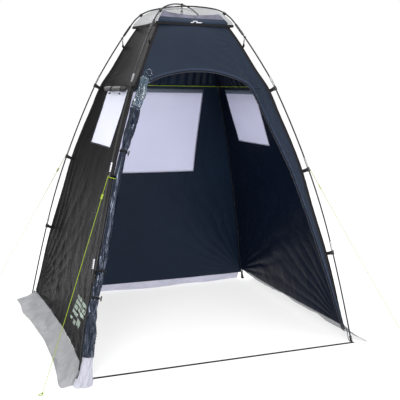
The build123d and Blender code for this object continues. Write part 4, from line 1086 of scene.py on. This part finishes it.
fx100, fy100 = float(fx(0.100)), float(fy(0.100))
ys = [-884, -700, -520, -340, -150, 40, 250, 450, 640, 800]
outx = [998, 986, 990, 1004, 1012, 1018, 1020, 1012, 1004, 1000]
h, m_, o_ = [], [], []
for i, (y, x) in enumerate(zip(ys, outx)):
    y, x = y / 1000, x / 1000
    s = max(-1.0, min(1.0, y / fy100))
    hx = (fx100 - float(sag_f(0.1)) * (1 - s * s) * 0.9) + 0.0022
    yy = max(-fy100 + 0.002, min(fy100 - 0.002, y))
    h.append((hx, yy, HEM["right"] + 0.010 + 0.006 * (1 - s * s)))
    m_.append((hx * 0.45 + x * 0.55, (yy + y) / 2, 0.026 + bump(i, 0.012)))
    o_.append((x, y, CL + bump(i, 0.005) * (0 if i in (0, 4, 9) else 1)))
skirt("right_skirt_film", "right_skirt", h, m_, o_, 111)

xs_ = [-840, -640, -440, -240, -40, 160, 360, 560, 740, 850]
iny = [818, 816, 806, 786, 770, 778, 790, 806, 822, 830]
h, m_, o_ = [], [], []
fx64 = float(fx(0.064))
fx70 = float(fx(0.070))
for i, (x, y) in enumerate(zip(xs_, iny)):
    x, y = x / 1000, y / 1000
    s = x / fx64
    hy = float(fy(0.066)) - float(sag_f(0.064)) * (1 - s * s) + 0.004
    h.append((max(-fx70 + 0.004, min(fx70 - 0.004, x)), hy, HEM["back"] + 0.008))
    m_.append((x, y, CL + 0.002 + bump(i, 0.006)))
    o_.append((x * 1.02, 0.985 - bump(i, 0.026) * (0 if i in (2, 6) else 1), CL))


def back_skirt():
    along, a1, a2 = 190, 12, 26
    H, M, O = (smooth_line(q, along) for q in (h, m_, o_))
    t1 = np.linspace(0, 1, a1)[:, None, None]
    t2 = np.linspace(0, 1, a2)[1:, None, None]
    P = np.concatenate([H[None] * (1 - t1) + M[None] * t1, M[None] * (1 - t2) + O[None] * t2], 0)
    run = arc_run(O)[None, :]
    k = np.linspace(0, 1, P.shape[0])[:, None]
    P[..., 1] += 0.004 * fbm(run * 8, k * 2, 121) * window(k, 0.06, 0.34, 0.05)
    P[..., 2] = np.maximum(P[..., 2] + 0.003 * fbm(run * 9, k * 5, 122) * window(k, 0.4, 0.95, 0.05), 0.0012)
    uv = np.stack([np.broadcast_to(run, P.shape[:2]), np.broadcast_to(k * 0.25, P.shape[:2])], -1)
    o = make("back_skirt_film", P.reshape(-1, 3), grid_faces(P.shape[0], along), [SKIRT_BACK_LIT], uvs=uv.reshape(-1, 2))
    solidify(o, 0.0005, 0.0)
    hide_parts("back_skirt")


back_skirt()

# ---------------------------------------------------------------------------
# rolled door
# ---------------------------------------------------------------------------
def near(x, z, r, off=16.0):
    return (x / 1000, -(float(fy(z / 1000))) - off / 1000, z / 1000, r / 1000)


CLEAR_ROWS = [near(-397.0, 1675.0, 27.0, 38.0), near(-413.0, 1626.0, 29.0, 34.0), near(-444.0, 1543.0, 30.0, 20.0), near(-461.0, 1500.0, 30.0)]
NAVY_ROWS = [near(-463.0, 1494.0, 30.0), near(-497.0, 1393.0, 27.0), near(-546.0, 1283.0, 25.0),
             near(-560.0, 1244.0, 20.5), near(-574.0, 1210.0, 22.5), near(-601.0, 1126.0, 24.0),
             near(-651.0, 931.0, 23.0), near(-691.0, 765.0, 24.0), near(-736.0, 578.0, 22.5, 19.0),
             (-0.768, -0.744, 0.496, 0.024), (-0.782, -0.753, 0.436, 0.022), (-0.802, -0.779, 0.366, 0.0285),
             (-0.826, -0.807, 0.234, 0.030), (-0.847, -0.828, 0.122, 0.031)]


def roll_piece(name, rows, node, mat, seed, crumple, n=72, step=0.006, wind=0.8):
    q = np.array(rows)
    length = arc_run(q[:, :3])[-1]
    cnt = max(24, int(length / step))
    line = smooth_line(q, cnt)
    pts, rad = line[:, :3], line[:, 3]

    def prof(u, t):
        # wound layers: one step round the roll, pleats along it, and crumples
        ph = (t / (2 * math.pi) + wind * u + 0.05 * noise2(u * 4, t, seed)) % 1.0
        lip = 0.90 + 0.10 * ph
        z = np.interp(u, arc_run(pts), pts[:, 2])
        calm = smoothstep(z, 0.62, 0.74) * (1 - smoothstep(z, 1.20, 1.30))
        amt = 1.0 - 0.85 * calm
        pleat = (0.045 + 0.05 * amt) * np.cos(4 * t + 3.0 * noise2(u * 3, t * 0 + 1, seed + 1)) + 0.05 * amt * np.cos(7 * t + 5 * noise2(u * 6, t * 0 + 2, seed + 2))
        cr = crumple * amt * (0.30 - 1.6 * np.abs(fbm(u * 9 + np.cos(t) * 1.1, np.sin(t) * 1.9 + np.cos(t) * 0.8 + u * 3, seed + 3, 2, 0.45)))
        cr2 = 0.16 * crumple * amt * fbm(u * 20 + 0.9 * np.cos(t), 2.4 * np.sin(t), seed + 5, 2, 0.5)
        return (lip + pleat + np.maximum(cr, -0.30) + cr2) * 0.98
    o = tube_mesh(name, pts, rad, [mat], n=n, profile=prof)
    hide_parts(node)
    return o


roll_piece("door_roll_cloth", NAVY_ROWS, "door_roll", GLOSSY, 131, 0.42, n=96, step=0.0045)
roll_piece("door_roll_clear_part", CLEAR_ROWS, "door_window_roll", CLEAR, 141, 0.55, n=84, step=0.004)

def curl(name, centre, rad, tilt, turns, width, seed):
    """a free loop of film: a ribbon bent round"""
    th = np.linspace(0.3, 0.3 + turns * 2 * math.pi, 60)
    c = np.array(centre)
    u = np.array([math.cos(YAW), -math.sin(YAW), 0.0])
    w = np.array([math.sin(YAW) * math.sin(tilt), math.cos(YAW) * math.sin(tilt), math.cos(tilt)])
    n = np.cross(u, w)
    rr = rad * (1 - 0.25 * (th - 0.3) / (turns * 2 * math.pi)) * (1 + 0.12 * np.cos(2 * th + seed))
    line = c + rr[:, None] * (np.cos(th)[:, None] * u + 1.25 * np.sin(th)[:, None] * w)
    radial = (line - c) / np.linalg.norm(line - c, axis=1)[:, None]
    ribbon(name, line - n * width / 2, line + n * width / 2, 0.0022, radial, [CLEAR])


curl("clear_curl_a", (-0.3640, -0.4330, 1.7060), 0.0170, 0.15, 0.95, 0.020, 1.0)
curl("clear_curl_b", (-0.3870, -0.4350, 1.7030), 0.0110, -0.25, 0.90, 0.018, 2.0)
curl("clear_curl_c", (-0.3650, -0.4370, 1.6600), 0.0120, 0.30, 0.85, 0.016, 3.0)

flap_rows = [(-0.846, -0.827, 0.126, 0.031), (-0.849, -0.831, 0.112, 0.032), (-0.868, -0.874, 0.060, 0.036), (-0.886, -0.910, 0.022, 0.049),
             (-0.901, -0.928, 0.006, 0.056)]
q = smooth_line(np.array(flap_rows), 60)


def flap():
    n = 90
    th = np.linspace(0, 2 * math.pi, n, endpoint=False)
    v, uv = [], []
    for k, (x, y, z, r) in enumerate(q):
        u = k / (len(q) - 1)
        rr = r * (0.90 + 0.06 * np.cos(5 * th + 2 * u) + 0.20 * (0.3 - np.abs(fbm(np.cos(th) * 2.2 + 5 + u * 1.5, np.sin(th) * 2.2 + u * 3, 151, 3))))
        px, py = x + rr * np.cos(th), np.maximum(y + rr * np.sin(th), -0.9845)
        pz = np.full(n, z) + 0.004 * u * np.cos(4 * th)
        v.append(np.stack([px, py, np.maximum(pz, 0.0012)], -1))
        uv.append(np.stack([th * 0.04, np.full(n, u * 0.15)], -1))
    v = np.concatenate(v)
    faces = [tuple(f) for f in grid_faces(len(q), n, close=True)]
    faces.append(tuple(range(n)))
    faces.append(tuple((len(q) - 1) * n + k for k in range(n))[::-1])
    o = make("door_flap_film", v, faces, [FLAP], uvs=np.concatenate(uv))
    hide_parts("door_flap_roll")


flap()


# ---------------------------------------------------------------------------
# rolled blinds
# ---------------------------------------------------------------------------
def blind(name, node, centre, axis, half, seed):
    c, a = np.array(centre), np.array(axis, float)
    ends = 0.034
    half = half - 0.022
    t = np.concatenate([np.linspace(-half - ends, -half, 10)[:-1], np.linspace(-half, half, 110), np.linspace(half, half + ends, 10)[1:]])
    pts = c[None] + t[:, None] * a[None]
    rad = 0.0172 * np.where(np.abs(t) > half, 1 - 0.70 * (np.abs(t) - half) / ends, 1.0)

    def prof(u, th):
        ph = (th / (2 * math.pi) + 0.25 * u) % 1.0
        return (0.90 + 0.09 * ph + 0.035 * np.cos(3 * th + 4 * noise2(u * 4, u * 0, seed)) + 0.09 * fbm(u * 22, th * 1.2, seed + 1)) * 0.98
    o = tube_mesh(name, pts, rad, [BLIND], n=48, profile=prof)
    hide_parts(node)


# short neon tail through the front guy's ring, lying across the pole
tail = np.array([(-0.672, -0.628, 1.106), (-0.655, -0.634, 1.102), (-0.640, -0.632, 1.098), (-0.628, -0.626, 1.093)])
tube_mesh("guy_tail_fl", smooth_line(tail, 24), 0.0021, [GREEN], n=8)

for nm in ("left", "right", "back"):
    lo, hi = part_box(nm + "_blind_roll")
    ctr = [(lo[k] + hi[k]) / 2 for k in range(3)]
    if nm == "back":
        blind("back_blind_cloth", "back_blind_roll", ctr, (1, 0, 0), 0.325, 163)
    else:
        blind(nm + "_blind_cloth", nm + "_blind_roll", ctr, (0, 1, 0), 0.240, 161 if nm == "left" else 162)

# ---------------------------------------------------------------------------
# generic pattern printed on the left wall: broken slanting bars
# ---------------------------------------------------------------------------
def print_patch():
    k = Mat("print_ink")
    worn = k.noise(k.uv, 70.0, 5.0, 0.7)
    worn2 = k.noise(k.uv, 16.0, 3.0, 0.6)
    al = k.ramp(k.math("ADD", k.math("MULTIPLY", worn, 0.6), k.math("MULTIPLY", worn2, 0.4)),
                [(0.40, (0, 0, 0, 1)), (0.47, (1, 1, 1, 1))])
    k.link(al, k.bsdf.inputs["Alpha"])
    k.colour(k.ramp(worn2, [(0.3, lin(120, 132, 124)), (0.7, lin(165, 178, 168))]))
    k.set(Roughness=0.6, Specular_IOR_Level=0.05)
    verts, faces, uvs = [], [], []
    # (run along the wall, height, length, thickness of bar)
    bars = [(-0.300, 0.326, 0.120, 0.026), (-0.440, 0.330, 0.150, 0.024), (-0.290, 0.292, 0.200, 0.024), (-0.510, 0.298, 0.075, 0.026),
            (-0.280, 0.258, 0.090, 0.026), (-0.390, 0.262, 0.190, 0.022), (-0.272, 0.222, 0.150, 0.022),
            (-0.262, 0.176, 0.060, 0.018), (-0.350, 0.170, 0.060, 0.030), (-0.440, 0.196, 0.100, 0.052)]
    for (a0, z0, ln, th) in bars:
        na, nz = 12, 5
        AA, ZZ = np.meshgrid(np.linspace(0, 1, na), np.linspace(-0.5, 0.5, nz))
        a = a0 - ln * AA
        z = z0 + th * ZZ + 0.03 * (a0 - a)
        a = a - 0.35 * (z - 0.25)
        P = wall_point("left", a, z, 0.0009)
        b = len(verts)
        verts += list(P.reshape(-1, 3))
        uvs += list(np.stack([a, z], -1).reshape(-1, 2))
        faces += [tuple(b + i for i in f) for f in grid_faces(nz, na)]
    make("wall_print", verts, faces, [k], uvs=uvs)


print_patch()

# ---------------------------------------------------------------------------
# carried-over hard parts get their finishes
# ---------------------------------------------------------------------------
for n in ("pole_a_sections", "pole_b_sections", "roof_arc_a", "roof_arc_b"):
    set_mat(n, POLE)
set_mat("pole_ferrules", STEEL)
for n in ("corner_sleeves", "pole_feet", "roof_clips", "corner_hooks", "lantern_hook", "zip_slider", "zip_pull", "wall_clips",
          "crossing_tie") + tuple(
              n for n in NODES if n.startswith("toggle_") or n.startswith("door_toggle")):
    set_mat(n, BLACK)
for n in ("clip_webbing", "roof_clip_tabs", "roof_eyelet", "foot_straps", "threshold_strap", "blind_ties", "door_ties", "line_tabs"):
    set_mat(n, TAPE)
set_mat("corner_elastics", ELASTIC)
# the corner elastics: a doubled cord with a knot in the middle
_e = NODES["corner_elastics"]
_ev = np.array([tuple(_e.matrix_world @ v.co) for v in _e.data.vertices])
_done = False
for sx, sy, nm in ((-1, -1, "fl"), (1, -1, "fr"), (-1, 1, "bl"), (1, 1, "br")):
    q = _ev[(_ev[:, 0] * sx > 0) & (_ev[:, 1] * sy > 0)]
    if len(q) < 8:
        continue
    z0, z1 = q[:, 2].min(), q[:, 2].max()
    ends = [q[q[:, 2] < z0 + 0.15 * (z1 - z0)].mean(0), q[q[:, 2] > z1 - 0.15 * (z1 - z0)].mean(0)]
    run = [ends[0] * (1 - k) + ends[1] * k for k in (0.0, 0.35, 0.7, 1.0)]
    run = smooth_line(np.array(run), 60)

    def knots(u, t, L=arc_run(run)[-1]):
        return 1 + 0.9 * np.exp(-((u - 0.38 * L) / 0.006) ** 2) + 0.9 * np.exp(-((u - 0.62 * L) / 0.006) ** 2) + 0.12 * np.sin(u / 0.004 * 6.283 + t)
    el = tube_mesh("corner_elastic_" + nm, run, 0.0034, [ELASTIC], n=10, profile=knots)
    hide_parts("corner_elastics")
for n in ("guy_runner_fl", "guy_runner_fr", "guy_runner_bl"):
    set_mat(n, RUNNER)
set_mat("guy_loops", GREEN)

# ---------------------------------------------------------------------------
# studio
# ---------------------------------------------------------------------------
fm = Mat("studio_floor")
fn = fm.noise(fm.obj, 3.0, 2.0, 0.5)
fm.colour(fm.ramp(fn, [(0.0, (0.29, 0.29, 0.29)), (1.0, (0.31, 0.31, 0.31))]))
fm.set(Roughness=0.9, Specular_IOR_Level=0.1, Emission_Color=(1.0, 1.0, 1.0, 1.0), Emission_Strength=0.71)
me = bpy.data.meshes.new("floor")
bm = bmesh.new()
bmesh.ops.create_grid(bm, x_segments=4, y_segments=4, size=30.0)
bm.to_mesh(me)
bm.free()
floor = bpy.data.objects.new("floor", me)
me.materials.append(fm.m)
floor.location = (0, 0, -0.0006)
scene.collection.objects.link(floor)

world = bpy.data.worlds.new("studio")
scene.world = world
world.use_nodes = True
bg = world.node_tree.nodes["Background"]
bg.inputs["Color"].default_value = (1.0, 1.0, 1.0, 1.0)
bg.inputs["Strength"].default_value = 1.02


def area(name, loc, target, size, power, colour=(1, 1, 1)):
    d = bpy.data.lights.new(name, "AREA")
    d.shape = "RECTANGLE"
    d.size, d.size_y = size
    d.energy = power
    d.color = colour
    o = bpy.data.objects.new(name, d)
    o.location = loc
    o.rotation_euler = (Vector(target) - Vector(loc)).to_track_quat("-Z", "Y").to_euler()
    scene.collection.objects.link(o)
    return o


area("key", (-3.4, -5.4, 4.4), (0, 0, 1.0), (2.2, 2.2), 260)
area("top", (0.4, -0.6, 6.5), (0, 0, 0), (5.0, 5.0), 210)
area("front", (1.6, -7.0, 1.6), (0, 0, 0.8), (6.0, 2.4), 260)
area("back", (0.5, 5.0, 4.0), (0, 0, 1.2), (4.0, 3.0), 150)
